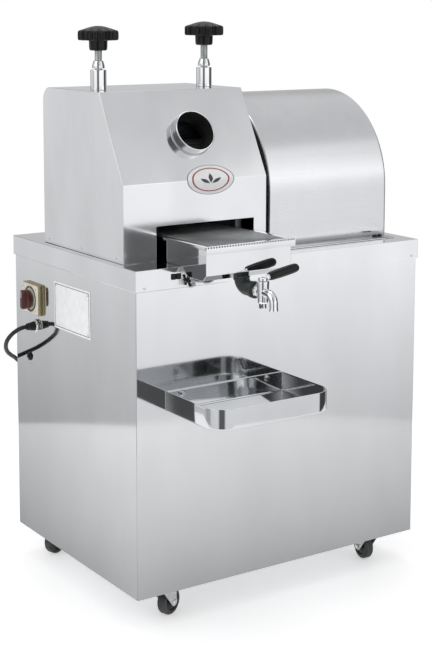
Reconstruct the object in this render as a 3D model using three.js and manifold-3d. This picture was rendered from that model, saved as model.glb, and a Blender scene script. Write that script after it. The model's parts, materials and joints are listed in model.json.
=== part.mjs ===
// Electric three-roller sugarcane juicer on a wheeled cabinet.
// Millimetres, +Z up. While modelling, x = 0 is the cabinet's centre plane, y = 0 its front
// face and z = 0 the floor. The finished group is moved so that its origin is the centre of
// the footprint, on the floor.

import * as THREE from 'three';
import { mergeVertices } from 'three/addons/utils/BufferGeometryUtils.js';
import Module from 'manifold-3d';

const wasm = await Module();
wasm.setup();

// Clearances
const seat = 0.3; // between two pieces that rest on or lie against each other
const running = 0.3; // radial, between a journal and its bore
const through = 1; // how far a cutting tool passes the face it opens

// Cabinet: folded stainless sheet
const cabinet = {
  width: 620,
  depth: 461,
  height: 577,
  floorGap: 60,
  sheet: 1.5,
  flange: 20,
  panelLip: 13,
};
const worktop = { overhang: 3, skirt: 37, channelWidth: 36, channelDepth: 26, channelWall: 3, slotGap: 7 };
const basePlate = { recess: 10, thickness: 2, lip: 25 };
const vents = { rows: 7, pitch: 18, length: 110, slotHeight: 5, hood: 5, top: 420, spacing: 190 };

// Casters: swivel plate, fork and wheel
const caster = {
  insetSide: 73,
  insetEnd: 39,
  plate: 58,
  plateThickness: 3,
  raceRadius: 17,
  raceHeight: 4,
  wheelRadius: 25,
  wheelWidth: 19,
  hubWidth: 23,
  boreRadius: 3.4,
  pinRadius: 3,
  trail: 19,
  forkSheet: 2,
  crownLip: 2,
  legFlare: 6,
  eyeRadius: 8,
  eyeStart: -150,
  eyeEnd: 30,
  naveRadius: 9,
  shoulderRadius: 22.5,
  treadEase: 3,
  sides: 18,
};
const casterTurns = { front_left: 22, front_right: 82, rear_left: 200, rear_right: 160 };

// Roller head: two cheek plates that carry three fluted rollers
const head = {
  leftRoom: 29.5,
  plateThickness: 12,
  screwY: 210,
  plateFront: 95,
  plateRear: 325,
  shoulder: 178,
  topWidth: 104,
  topHeight: 285,
  neck: 17,
  windowWidth: 60,
  windowTop: 263,
  foot: 14,
  footThickness: 8,
};
const roller = {
  radius: 40,
  fluteDepth: 1.4,
  flutes: 14,
  crestShare: 0.62,
  valleyStart: 0.78,
  valleyEnd: 0.84,
  axisHeight: 218,
  frontOffset: 62,
  rearOffset: 54,
  journal: 15,
  journalSides: 20,
  shaftOverhang: 8,
  endPlay: 4,
};
const gear = {
  module: 6,
  teeth: 14,
  width: 18,
  pressureAngle: 20,
  addendum: 0.85,
  dedendum: 1.2,
  rootFlare: 1.04,
  backlash: 2,
  gap: 5,
  hubRise: 1.5,
};
const boss = { radius: 27, left: 6, right: 3 };
const block = { below: 30, proud: 3, cheekLap: 8 };
const screw = { radius: 7, footRadius: 9, footHeight: 6, footCover: 5, standOut: 92, chamfer: 2 };
const starKnob = {
  radius: 36.5,
  lobes: 7,
  stepsPerLobe: 5,
  lobeDepth: 4,
  rim: 17,
  dome: 9,
  hubRadius: 16.5,
  hubTip: 11,
  hub: 18,
  neckRise: 2,
  edge: 1,
  engagement: 22,
  rightRaise: 7,
};
const sleeve = { radius: 14.5, height: 36, spigotRadius: 10.5, chamfer: 1, sides: 18 };
const lockNut = { base: 11.5, top: 8.6, height: 14, collar: 4.7, rise: 2 };
const tieBar = { radius: 10, pin: 7, pinProud: 5, front: 118, rear: 300, height: 66, sides: 12 };
const turner = { gap: 7, thickness: 8, startAngle: -110, endAngle: -79 };

// Hood over the head, with the feed tube and the bagasse chute
const hood = {
  left: 11,
  shaftClearance: 5.7,
  coverGap: 16.5,
  front: 61,
  depth: 296,
  upright: 137,
  slopeRun: 82,
  height: 292,
  rearRound: 26,
  sheet: 1.5,
};
const slot = { leftRoom: 10.5, rightRoom: 20.5, height: 61 };
const feedTube = {
  offset: 12.5,
  alongSlope: 86.6,
  radius: 38.5,
  wall: 2,
  standOut: 20,
  reach: 22,
  sides: 32,
};
const chute = {
  sideRoom: 8.5,
  wall: 45,
  sheet: 1.5,
  startY: 309,
  startHeight: 188,
  endY: 455,
  fall: 0.6,
  flange: 12,
  openingSide: 2,
  openingFoot: 145,
  openingTop: 253,
};

// Drive: motor, belt, reducer and their half-barrel cover
const cover = {
  right: 15,
  front: 73,
  radius: 180,
  springing: 96,
  sheet: 1.5,
  foot: 39,
  footShort: 10,
  shaftHole: 24,
};
const pulley = {
  radius: 150,
  width: 30,
  grooveDepth: 12,
  rimDepth: 24,
  web: 8,
  hubRadius: 26,
  hubWidth: 36,
  shaftRadius: 12,
  shaftDepth: 28,
  windows: 5,
  windowRadius: 28,
  windowSides: 12,
  coverRoom: 53,
  sides: 20,
};
const motor = {
  radius: 82,
  finDepth: 6,
  fins: 16,
  finShare: 0.4,
  gapStart: 0.55,
  gapEnd: 0.85,
  length: 190,
  endBell: 24,
  bellNose: 63,
  pedestalWidth: 98,
  pedestalDrop: 41,
  axisHeight: 112,
  pulleyRadius: 37.5,
  shaftRadius: 11,
  shaftDepth: 30,
  noseGap: 10,
  footWidth: 190,
  footThickness: 10,
  boxWidth: 70,
  boxHeight: 26,
};
const belt = { width: 12, thickness: 8, clearance: 0.8, grooveSide: 0.3, grooveFlare: 2 };
const mount = { width: 220, length: 210, thickness: 6, rail: 14, railWidth: 24 };
const reducer = {
  width: 128,
  pulleyRoom: 36,
  bossReach: 8,
  outputBoss: 24,
  inputBoss: 22,
  headRadius: 62,
  footThickness: 14,
  footWidth: 190,
  boreDepth: 30,
};
const coupling = { radius: 28, length: 42, stub: 14, stubLength: 30, overlap: 18, wallGap: 7, reducerGap: 2 };

// Juice path: trough, strainer, elbow and tap
const trough = {
  leftRoom: 34,
  rightRoom: 4,
  front: -80,
  rear: 330,
  height: 42,
  sheet: 1.5,
  sumpDrop: 15,
  sumpRear: -6,
  sumpToe: -20,
  toeRise: 2,
  sumpFloorRear: -30,
  sumpFloorFront: -70,
  sumpLip: 10,
};
const outlet = { offset: 4.5, y: -50, radius: 14.8, bore: 11, neck: 2, bend: 18.5, endY: -92 };
const strainer = {
  sheet: 1.5,
  sideLip: 5,
  frontLip: 13,
  wing: 7,
  wingRear: 52,
  slotShare: 0.615,
  slotWidth: 7,
  columns: 5,
  rows: 8,
  margin: 16,
  rearMargin: 20,
};
const tap = {
  collar: 12,
  collarLength: 9,
  barrel: 9,
  plugY: -113,
  housingTop: 11,
  housingBottom: 9,
  housingHeight: 38,
  plugRadius: 5.2,
  crossBore: 3.6,
  capRadius: 8.5,
  capHeight: 7,
  nutRadius: 6.3,
  nutHeight: 12,
  spoutRadius: 8,
  spoutBore: 4.2,
  spoutBend: 16,
  spoutY: -144,
  spoutEnd: -27,
  leverRadius: 3.5,
  leverLength: 60,
  gripRadius: 8.4,
  gripStart: 12,
  gripEnd: 75,
  gripEase: 2,
  gripTilt: 10,
};
const tray = {
  left: 58,
  width: 247,
  depth: 155,
  bottom: 327,
  height: 36,
  sheet: 1.5,
  corner: 38,
};

// Left side: switch, reset button, cord
const switchBox = { y: 382, below: 111, width: 66, height: 59, depth: 9, body: 40, reach: 34 };
const switchKnob = {
  radius: 18.5,
  height: 15,
  standOff: 4.2,
  stem: 4,
  stemDepth: 8,
  pointer: 9,
  pointerCut: 6,
  chamfer: 1.5,
};
const resetButton = {
  y: 404,
  below: 228,
  radius: 4.5,
  standOut: 6,
  chamfer: 1,
  flange: 7,
  flangeThickness: 2,
  stem: 9,
};
const gland = {
  y: 371,
  below: 162,
  flange: 13,
  flangeThickness: 3,
  base: 9.5,
  tip: 6.2,
  length: 22,
  nut: 10,
  nutThickness: 5,
  boreDepth: 16,
};
const cord = { radius: 4, sides: 6, steps: 48, inGland: 8 };
const coil = {
  fromSide: 170,
  centreY: 545,
  outer: 52,
  pitch: 10,
  climb: 8.5,
  turns: 2,
  stepsPerTurn: 20,
  sides: 6,
  lead: 10,
  tail: 26,
};
const plug = {
  length: 52,
  neck: 6,
  neckLength: 18,
  radius: 12.4,
  edge: 1.5,
  blade: 18,
  bladeWidth: 6.4,
  bladeThickness: 1.6,
  bladeSpacing: 12.7,
};

// Places worked out from the sizes above
const halfWidth = cabinet.width / 2;
const leftFace = -halfWidth;
const underside = cabinet.floorGap;
const topZ = underside + cabinet.height;
const deck = topZ + seat;
const panelTop = topZ - cabinet.sheet - seat;

// Across the machine: the drive stands against the right end and the hood against the left,
// and the rollers are as long as the room between them
const coverRight = halfWidth - cover.right;
const pulleyX = coverRight - pulley.coverRoom;
const reducerRight = pulleyX - reducer.pulleyRoom;
const reducerLeft = reducerRight - reducer.width;
const couplingLeft = reducerLeft - reducer.bossReach - coupling.reducerGap - coupling.length;
const coverLeft = couplingLeft - coupling.wallGap - cover.sheet;
const hoodRight = coverLeft - hood.coverGap;
const hoodLeft = leftFace + hood.left;
const gearStack = gear.gap + gear.width + gear.hubRise + seat;
const screwXs = {
  left: hoodLeft + hood.sheet + head.leftRoom + head.plateThickness / 2,
  right: hoodRight - hood.sheet - hood.shaftClearance - gearStack - head.plateThickness / 2,
};
const headX = (screwXs.left + screwXs.right) / 2;
const innerGap = {
  left: screwXs.left + head.plateThickness / 2,
  right: screwXs.right - head.plateThickness / 2,
};
const rollerPitch = gear.module * gear.teeth;
const topAxis = { y: head.screwY, z: topZ + roller.axisHeight };
const dropTo = (offset) => Math.sqrt(rollerPitch ** 2 - offset ** 2);
const frontAxis = { y: topAxis.y - roller.frontOffset, z: topAxis.z - dropTo(roller.frontOffset) };
const rearAxis = { y: topAxis.y + roller.rearOffset, z: topAxis.z - dropTo(roller.rearOffset) };
const switchZ = topZ - switchBox.below;
const resetZ = topZ - resetButton.below;
const glandZ = topZ - gland.below;
const hoodTop = topZ + hood.height;
const barrel = { y: cover.front + cover.radius, z: topZ + cover.springing };
const panFloor = underside + basePlate.recess + basePlate.thickness;
const motorAxis = { y: barrel.y, z: panFloor + mount.rail + motor.axisHeight };
const troughLeft = innerGap.left + trough.leftRoom;
const troughRight = innerGap.right - trough.rightRoom;
const outletX = (troughLeft + troughRight) / 2 + outlet.offset;
const chuteHalf = (innerGap.right - innerGap.left) / 2 - chute.sideRoom;
const troughTop = topZ + trough.height;
const sumpZ = topZ - trough.sumpDrop;
const tieBarZ = topZ + tieBar.height;
const hoodRear = hood.front + hood.depth;
const hoodLean = Math.atan2(hood.slopeRun, hood.height - hood.upright);
const tapZ = sumpZ - seat - outlet.neck - outlet.bend;

// Materials
const paint = (color, roughness, metalness) =>
  new THREE.MeshStandardMaterial({ color, roughness, metalness });
const satinSteel = () => paint(0xc4c7ca, 0.32, 1);
const polishedSteel = () => paint(0xd6d8da, 0.12, 1);
const chrome = () => paint(0xe2e4e6, 0.06, 1);
const zinc = () => paint(0x9b9fa0, 0.4, 0.9);
const castMetal = () => paint(0x5d6b63, 0.6, 0.4);
const blackPlastic = () => paint(0x17181a, 0.42, 0);
const blackRubber = () => paint(0x141516, 0.75, 0);
const creamPlastic = () => paint(0xded8c4, 0.45, 0);
const redPlastic = () => paint(0x4a1a18, 0.4, 0);
const darkFitting = () => paint(0x343a37, 0.5, 0);

const machine = new THREE.Group();

function place(name, geometry, material, parent = machine) {
  const mesh = new THREE.Mesh(geometry, material);
  mesh.name = name;
  parent.add(mesh);
  return mesh;
}

// Solids

// One vertex per place, and no triangle without an area, as a closed body needs
function weld(geometry) {
  const plain = geometry.clone();
  plain.deleteAttribute('normal');
  plain.deleteAttribute('uv');
  const merged = mergeVertices(plain, 1e-3);
  const corners = merged.index.array;
  const kept = [];
  for (let i = 0; i < corners.length; i += 3) {
    const [a, b, c] = [corners[i], corners[i + 1], corners[i + 2]];
    if (a !== b && b !== c && c !== a) kept.push(a, b, c);
  }
  merged.setIndex(kept);
  return merged;
}

function toSolid(geometry) {
  const welded = weld(geometry);
  return new wasm.Manifold(
    new wasm.Mesh({
      numProp: 3,
      vertProperties: new Float32Array(welded.attributes.position.array),
      triVerts: new Uint32Array(welded.index.array),
    }),
  );
}

function toGeometry(solid) {
  const mesh = solid.getMesh();
  const geometry = new THREE.BufferGeometry();
  geometry.setAttribute('position', new THREE.BufferAttribute(new Float32Array(mesh.vertProperties), 3));
  geometry.setIndex(new THREE.BufferAttribute(new Uint32Array(mesh.triVerts), 1));
  return geometry;
}

function join(...geometries) {
  return toGeometry(geometries.map(toSolid).reduce((sum, next) => sum.add(next)));
}

function cut(geometry, ...tools) {
  return toGeometry(tools.map(toSolid).reduce((rest, tool) => rest.subtract(tool), toSolid(geometry)));
}

function box(x0, x1, y0, y1, z0, z1) {
  const geometry = new THREE.BoxGeometry(x1 - x0, y1 - y0, z1 - z0);
  return geometry.translate((x0 + x1) / 2, (y0 + y1) / 2, (z0 + z1) / 2);
}

function asShape(outline) {
  if (outline instanceof THREE.Shape) return outline;
  return new THREE.Shape(outline.map(([a, b]) => new THREE.Vector2(a, b)));
}

function extrude(outline, depth) {
  return new THREE.ExtrudeGeometry(asShape(outline), { depth, bevelEnabled: false, steps: 1 });
}

const axisX = new THREE.Vector3(1, 0, 0);
const axisY = new THREE.Vector3(0, 1, 0);
const axisZ = new THREE.Vector3(0, 0, 1);
const minusY = new THREE.Vector3(0, -1, 0);

// An outline in (y, z) carried from x0 to x1
function prismX(outline, x0, x1) {
  const turn = new THREE.Matrix4().makeBasis(axisY, axisZ, axisX);
  return extrude(outline, x1 - x0).applyMatrix4(turn).translate(x0, 0, 0);
}

// An outline in (x, z) carried from y0 to y1
function prismY(outline, y0, y1) {
  const turn = new THREE.Matrix4().makeBasis(axisX, axisZ, minusY);
  return extrude(outline, y1 - y0).applyMatrix4(turn).translate(0, y1, 0);
}

// An outline in (x, y) carried from z0 to z1
function prismZ(outline, z0, z1) {
  return extrude(outline, z1 - z0).translate(0, 0, z0);
}

// A turned profile of [radius, height] points, counterclockwise, about the axis named
function turnedZ(profile, sides, x = 0, y = 0) {
  const points = profile.map(([r, h]) => new THREE.Vector2(r, h));
  return new THREE.LatheGeometry(points, sides).rotateX(Math.PI / 2).translate(x, y, 0);
}

function turnedX(profile, sides, y = 0, z = 0) {
  const points = profile.map(([r, h]) => new THREE.Vector2(r, h));
  return new THREE.LatheGeometry(points, sides).rotateZ(-Math.PI / 2).translate(0, y, z);
}

function cylinderProfile(radius, from, to) {
  return [[0, from], [radius, from], [radius, to], [0, to]];
}

function ringProfile(inner, outer, from, to) {
  return [[inner, from], [outer, from], [outer, to], [inner, to], [inner, from]];
}

function rodX(radius, x0, x1, y, z, sides = 20) {
  return turnedX(cylinderProfile(radius, x0, x1), sides, y, z);
}

function rodZ(radius, z0, z1, x, y, sides = 20) {
  return turnedZ(cylinderProfile(radius, z0, z1), sides, x, y);
}

// Points on an arc in a plane, angles in degrees
function arc(centreA, centreB, radius, from, to, steps) {
  return Array.from({ length: steps + 1 }, (_, i) => {
    const angle = THREE.MathUtils.degToRad(from + ((to - from) * i) / steps);
    return [centreA + radius * Math.cos(angle), centreB + radius * Math.sin(angle)];
  });
}

function ringPoints(radius, sides) {
  return arc(0, 0, radius, 180 / sides, 180 / sides + 360 * (1 - 1 / sides), sides - 1);
}

// A round bar or pipe carried along a curve, with flat ends
function pipe(curve, radius, sides, steps, bore = 0) {
  const section = asShape(ringPoints(radius, sides));
  if (bore > 0) {
    const points = ringPoints(bore, sides).map(([a, b]) => new THREE.Vector2(a, b));
    section.holes.push(new THREE.Path(points));
  }
  return new THREE.ExtrudeGeometry(section, { extrudePath: curve, steps, bevelEnabled: false });
}

// Cabinet

function sidePanel(side) {
  const { sheet, flange, depth } = cabinet;
  const front = sheet + seat;
  const rear = depth - sheet - seat;
  const outer = side * halfWidth;
  const inner = side * (halfWidth - sheet);
  const lip = side * (halfWidth - flange);
  return prismZ([
    [outer, front], [outer, rear], [lip, rear], [lip, rear - sheet],
    [inner, rear - sheet], [inner, front + sheet], [lip, front + sheet], [lip, front],
  ], underside, panelTop);
}

function leftSidePanel() {
  const window = switchBox.body / 2 + seat;
  const [y, z] = [switchBox.y, switchZ];
  const [outside, inside] = [leftFace - cabinet.sheet, leftFace + 2 * cabinet.sheet];
  return cut(
    sidePanel(-1),
    box(outside, inside, y - window, y + window, z - window, z + window),
    rodX(resetButton.radius + seat, outside, inside, resetButton.y, resetZ),
    rodX(gland.tip + seat, outside, inside, gland.y, glandZ),
  );
}

function frontPanel() {
  const { sheet, flange, panelLip } = cabinet;
  const lipEnd = halfWidth - flange - seat;
  return join(
    box(-halfWidth, halfWidth, 0, sheet, underside, panelTop),
    box(-lipEnd, lipEnd, 0, panelLip, underside, underside + sheet),
  );
}

// The rear panel breathes through two columns of louvres
function rearPanel() {
  const { sheet, depth } = cabinet;
  const louvres = [];
  const slots = [];
  for (const side of [-1, 1]) {
    for (let row = 0; row < vents.rows; row += 1) {
      const z = underside + vents.top - row * vents.pitch;
      const [x0, x1] = [side * vents.spacing - vents.length / 2, side * vents.spacing + vents.length / 2];
      const crown = z + 2 * vents.slotHeight;
      const brow = [[depth - sheet / 2, z + vents.slotHeight], [depth + vents.hood, z + vents.slotHeight],
        [depth - sheet / 2, crown]];
      louvres.push(prismX(brow, x0, x1));
      slots.push(box(x0, x1, depth - 2 * sheet, depth + sheet, z, z + vents.slotHeight));
    }
  }
  const sheetMetal = box(-halfWidth, halfWidth, depth - sheet, depth, underside, panelTop);
  return cut(join(sheetMetal, ...louvres), ...slots);
}

function casterPlaces() {
  const x = halfWidth - caster.insetSide;
  const [front, rear] = [caster.insetEnd, cabinet.depth - caster.insetEnd];
  return { front_left: [-x, front], front_right: [x, front], rear_left: [-x, rear], rear_right: [x, rear] };
}

// A pan that ties the panels together and carries the motor and the four caster plates
function basePlatePan() {
  const { recess, thickness, lip } = basePlate;
  const x = halfWidth - cabinet.sheet - seat;
  const [y0, y1] = [2 * (cabinet.sheet + seat), cabinet.depth - 2 * (cabinet.sheet + seat)];
  const bottom = underside + recess;
  const pieces = [
    box(-x, x, y0, y1, bottom, bottom + thickness),
    box(-x, x, y0, y0 + thickness, bottom, bottom + lip),
    box(-x, x, y1 - thickness, y1, bottom, bottom + lip),
    box(-x, thickness - x, y0, y1, bottom, bottom + lip),
    box(x - thickness, x, y0, y1, bottom, bottom + lip),
  ];
  const half = caster.plate / 2;
  const under = bottom - caster.plateThickness;
  for (const [cx, cy] of Object.values(casterPlaces())) {
    pieces.push(box(cx - half, cx + half, cy - half, cy + half, under, bottom + thickness / 2));
    pieces.push(rodZ(caster.raceRadius, under - caster.raceHeight, bottom, cx, cy, 12));
  }
  return join(...pieces);
}

// Worktop: a folded pan with a skirt, a slot for the belt wheel and two stiffening channels
function worktopPan() {
  const { sheet, depth } = cabinet;
  const { overhang, skirt, channelWidth, channelDepth, channelWall } = worktop;
  const x = halfWidth + overhang;
  const [y0, y1] = [-overhang, depth + overhang];
  const pan = cut(
    box(-x, x, y0, y1, topZ - skirt, topZ),
    box(sheet - x, x - sheet, y0 + sheet, y1 - sheet, topZ - 2 * skirt, topZ - sheet),
  );
  const channelEnd = 2 * (sheet + seat);
  const channels = Object.values(screwXs).map((centre) => {
    const [left, right] = [centre - channelWidth / 2, centre + channelWidth / 2];
    const [top, bottom] = [topZ - sheet / 2, topZ - sheet - channelDepth];
    return prismY([
      [left, bottom], [left + channelWall, bottom], [left + channelWall, top - channelWall],
      [right - channelWall, top - channelWall], [right - channelWall, bottom], [right, bottom],
      [right, top], [left, top],
    ], channelEnd, depth - channelEnd);
  });
  const half = pulley.width / 2 + worktop.slotGap;
  const reach = pulley.radius - worktop.slotGap;
  const wheelSlot = box(
    pulleyX - half, pulleyX + half, barrel.y - reach, barrel.y + reach,
    topZ - 2 * sheet, topZ + sheet,
  );
  return cut(join(pan, ...channels), wheelSlot);
}

// Casters, drawn about their own swivel axis with the trail along +X

const axleZ = caster.wheelRadius * Math.cos(Math.PI / caster.sides);

function casterFork() {
  const { plateThickness, raceHeight, raceRadius, forkSheet, crownLip, legFlare } = caster;
  const { pinRadius, trail, hubWidth } = caster;
  const crown = underside + basePlate.recess - plateThickness - raceHeight - seat;
  const half = hubWidth / 2 + seat;
  const leg = [
    ...arc(trail, axleZ, caster.eyeRadius, caster.eyeStart, caster.eyeEnd, 5),
    [raceRadius + legFlare, crown - 3 * forkSheet], [raceRadius + crownLip, crown], [-raceRadius, crown],
    [-raceRadius, crown - 3 * forkSheet],
  ];
  const pin = turnedZ(cylinderProfile(pinRadius, -half - 2 * forkSheet, half + 2 * forkSheet), 10);
  return join(
    rodZ(raceRadius + crownLip, crown - forkSheet, crown, 0, 0, 16),
    box(-raceRadius, raceRadius + crownLip, -half - forkSheet, half + forkSheet, crown - forkSheet, crown),
    prismY(leg, -half - forkSheet, -half),
    prismY(leg, half, half + forkSheet),
    pin.rotateX(Math.PI / 2).translate(trail, 0, axleZ),
  );
}

// A flat tread with flats round it, so the wheel stands firm on one of them
function casterWheel() {
  const { wheelRadius, wheelWidth, hubWidth, boreRadius, sides } = caster;
  const { naveRadius: nave, shoulderRadius: shoulder } = caster;
  const [half, hub] = [wheelWidth / 2, hubWidth / 2];
  const crown = half - caster.treadEase;
  return turnedZ([
    [boreRadius, -hub], [nave, -hub], [nave, -half], [shoulder, -half], [wheelRadius, -crown],
    [wheelRadius, crown], [shoulder, half], [nave, half], [nave, hub], [boreRadius, hub], [boreRadius, -hub],
  ], sides).rotateZ(Math.PI / sides).rotateX(Math.PI / 2);
}

// Roller head

const cheekRange = (centre) => [centre - head.plateThickness / 2, centre + head.plateThickness / 2];

function boreTool(axis, radius, x0, x1) {
  return rodX(radius, x0, x1, axis.y, axis.z, roller.journalSides);
}

// A cheek plate: window for the sliding block, two bossed bores, a threaded top bar and a foot
function cheekPlate(side) {
  const centre = screwXs[side];
  const [x0, x1] = cheekRange(centre);
  const outward = side === 'left' ? -1 : 1;
  const outerFace = centre + (outward * head.plateThickness) / 2;
  const bossFace = outerFace + outward * boss[side];
  const halfTop = head.topWidth / 2;
  const top = topZ + head.topHeight;
  const outline = [
    [head.plateFront, deck], [head.plateRear, deck], [head.plateRear, topZ + head.shoulder],
    [head.screwY + halfTop, top - head.neck], [head.screwY + halfTop, top],
    [head.screwY - halfTop, top], [head.screwY - halfTop, top - head.neck],
    [head.plateFront, topZ + head.shoulder - head.neck],
  ];
  const bossAt = (axis) => rodX(
    boss.radius, Math.min(centre, bossFace), Math.max(centre, bossFace), axis.y, axis.z, roller.journalSides,
  );
  const foot = box(
    Math.min(outerFace, outerFace + outward * head.foot), Math.max(outerFace, outerFace + outward * head.foot),
    head.plateFront + head.neck, head.plateRear - head.neck, deck, deck + head.footThickness,
  );
  const bore = roller.journal + running;
  const [reachA, reachB] = [centre - 3 * head.plateThickness, centre + 3 * head.plateThickness];
  const windowFoot = topAxis.z - block.below - seat;
  return cut(
    join(prismX(outline, x0, x1), bossAt(frontAxis), bossAt(rearAxis), foot),
    boreTool(frontAxis, bore, reachA, reachB),
    boreTool(rearAxis, bore, reachA, reachB),
    box(reachA, reachB, head.screwY - head.windowWidth / 2, head.screwY + head.windowWidth / 2,
      windowFoot, topZ + head.windowTop),
    rodZ(screw.radius + running, topZ + head.windowTop - through, top + through, centre, head.screwY, 16),
    rodX(tieBar.pin + seat, reachA, reachB, tieBar.front, tieBarZ, tieBar.sides),
    rodX(tieBar.pin + seat, reachA, reachB, tieBar.rear, tieBarZ, tieBar.sides),
  );
}

// A bearing block slides in the cheek plate's window; the screw's foot turns in its T-slot
function bearingBlock(side) {
  const centre = screwXs[side];
  const outward = side === 'left' ? -1 : 1;
  const half = head.plateThickness / 2 + block.proud;
  const outerFace = centre + outward * (head.plateThickness / 2 + seat);
  const cheekEnd = centre + outward * half;
  const width = head.windowWidth / 2 - seat;
  const [bottom, top] = [topAxis.z - block.below, topAxis.z + block.below];
  const footZ = top - screw.footCover - screw.footHeight;
  const [x0, x1] = [centre - 4 * half, centre + 4 * half];
  return cut(
    join(
      box(centre - half, centre + half, head.screwY - width, head.screwY + width, bottom, top),
      box(Math.min(outerFace, cheekEnd), Math.max(outerFace, cheekEnd),
        head.screwY - width - block.cheekLap, head.screwY + width + block.cheekLap, bottom, top),
    ),
    boreTool(topAxis, roller.journal + running, x0, x1),
    box(x0, x1, head.screwY - screw.radius - seat, head.screwY + screw.radius + seat, footZ, top + through),
    box(x0, x1, head.screwY - screw.footRadius - seat, head.screwY + screw.footRadius + seat,
      footZ - seat, footZ + screw.footHeight + seat),
  );
}

const screwFootZ = topAxis.z + block.below - screw.footCover - screw.footHeight;
const screwTop = hoodTop + screw.standOut;

function pressureScrew(side) {
  const raise = side === 'right' ? starKnob.rightRaise : 0;
  return turnedZ([
    [0, screwFootZ], [screw.footRadius, screwFootZ], [screw.footRadius, screwFootZ + screw.footHeight],
    [screw.radius, screwFootZ + screw.footHeight], [screw.radius, screwTop + raise - screw.chamfer],
    [screw.radius - screw.chamfer, screwTop + raise], [0, screwTop + raise],
  ], 16, screwXs[side], head.screwY);
}

// A lobed hand knob with a domed top and a stepped hub, bored for the screw from below
function starKnobSolid(side) {
  const raise = side === 'right' ? starKnob.rightRaise : 0;
  const { radius, lobes, stepsPerLobe, lobeDepth, rim, dome, hubRadius, hubTip, hub, neckRise, edge } = starKnob;
  const tip = screwTop + raise;
  const hubFoot = tip - starKnob.engagement;
  const rimFoot = hubFoot + hub;
  const rimTop = rimFoot + rim;
  const steps = lobes * stepsPerLobe;
  const lobe = Array.from({ length: steps }, (_, i) => {
    const angle = (2 * Math.PI * i) / steps;
    const r = radius - lobeDepth * (1 - Math.cos(lobes * angle));
    return [screwXs[side] + r * Math.cos(angle), head.screwY + r * Math.sin(angle)];
  });
  const domeRadius = hubRadius + lobeDepth;
  const crown = arc(0, 0, 1, 0, 90, 3).map(([c, h]) => [domeRadius * c, rimTop - edge + (dome + edge) * h]);
  const body = turnedZ([
    [0, hubFoot], [hubTip, hubFoot], [hubRadius, hubFoot + hub / 2], [hubRadius, rimFoot + neckRise],
    [domeRadius, rimFoot + 2 * neckRise], ...crown.slice(0, -1), [0, rimTop + dome],
  ], 20, screwXs[side], head.screwY);
  const socket = rodZ(screw.radius + seat, hubFoot - through, tip + seat, screwXs[side], head.screwY, 16);
  return cut(join(prismZ(lobe, rimFoot, rimTop), body), socket);
}

function screwSleeve(side) {
  const { radius, height, spigotRadius, chamfer } = sleeve;
  const [foot, shoulder] = [topZ + head.topHeight + seat, hoodTop + seat];
  const top = shoulder + height;
  const bore = screw.radius + running;
  return turnedZ([
    [bore, foot], [spigotRadius, foot], [spigotRadius, shoulder], [radius, shoulder],
    [radius, top - chamfer], [radius - chamfer, top], [bore, top], [bore, foot],
  ], sleeve.sides, screwXs[side], head.screwY);
}

function lockNutSolid(side) {
  const bottom = hoodTop + seat + sleeve.height + lockNut.rise;
  const top = bottom + lockNut.height;
  const bore = screw.radius + running;
  return turnedZ([
    [bore, bottom], [lockNut.base, bottom], [lockNut.base, bottom + lockNut.collar],
    [lockNut.top, top], [bore, top], [bore, bottom],
  ], sleeve.sides, screwXs[side], head.screwY);
}

// A tie bar with a shoulder between the cheeks and a pin through each of them
function tieBarSolid(y) {
  const [a, b] = [innerGap.left + seat, innerGap.right - seat];
  const reach = head.plateThickness + tieBar.pinProud;
  return turnedX([
    [0, a - reach], [tieBar.pin, a - reach], [tieBar.pin, a], [tieBar.radius, a],
    [tieBar.radius, b], [tieBar.pin, b], [tieBar.pin, b + reach], [0, b + reach],
  ], tieBar.sides, y, tieBarZ);
}

// The turner plate leads the crushed cane from the first nip to the second
function turnerPlate() {
  const inner = roller.radius + turner.gap;
  return prismX([
    ...arc(topAxis.y, topAxis.z, inner, turner.endAngle, turner.startAngle, 6),
    ...arc(topAxis.y, topAxis.z, inner + turner.thickness, turner.startAngle, turner.endAngle, 6),
  ].reverse(), innerGap.left + seat, innerGap.right - seat);
}

// Lengthwise flutes grip the cane
function flutedOutline(axis) {
  const { radius, fluteDepth, flutes, crestShare, valleyStart, valleyEnd } = roller;
  const points = [];
  const step = 360 / flutes;
  for (let i = 0; i < flutes; i += 1) {
    points.push(...arc(axis.y, axis.z, radius, i * step, (i + crestShare) * step, 1));
    points.push(
      ...arc(axis.y, axis.z, radius - fluteDepth, (i + valleyStart) * step, (i + valleyEnd) * step, 1),
    );
  }
  return points;
}

function rollerSolid(axis, x0, x1) {
  const [a, b] = [innerGap.left + roller.endPlay, innerGap.right - roller.endPlay];
  return join(
    prismX(flutedOutline(axis), a, b),
    rodX(roller.journal, x0, x1, axis.y, axis.z, roller.journalSides),
  );
}

// An involute tooth, as points from root to tip on one side, mirrored for the other
function gearOutline(phase, axis) {
  const { module: size, teeth, pressureAngle, backlash } = gear;
  const pitch = (size * teeth) / 2;
  const base = pitch * Math.cos(THREE.MathUtils.degToRad(pressureAngle));
  const tip = pitch + size * gear.addendum;
  const root = pitch - size * gear.dedendum;
  const involute = (r) => {
    const t = Math.sqrt(Math.max(0, (r / base) ** 2 - 1));
    return t - Math.atan(t);
  };
  const halfTooth = Math.PI / (2 * teeth) - backlash / (2 * pitch);
  const halfAt = (r) => halfTooth + involute(pitch) - involute(r);
  const radii = [base, tip];
  const points = [];
  for (let i = 0; i < teeth; i += 1) {
    const middle = phase + (2 * Math.PI * i) / teeth;
    const flank = [[root, halfAt(base) * gear.rootFlare], ...radii.map((r) => [r, halfAt(r)])];
    for (const [r, half] of flank) points.push([r, middle - half]);
    for (const [r, half] of flank.slice().reverse()) points.push([r, middle + half]);
  }
  return points.map(([r, angle]) => [axis.y + r * Math.cos(angle), axis.z + r * Math.sin(angle)]);
}

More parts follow.
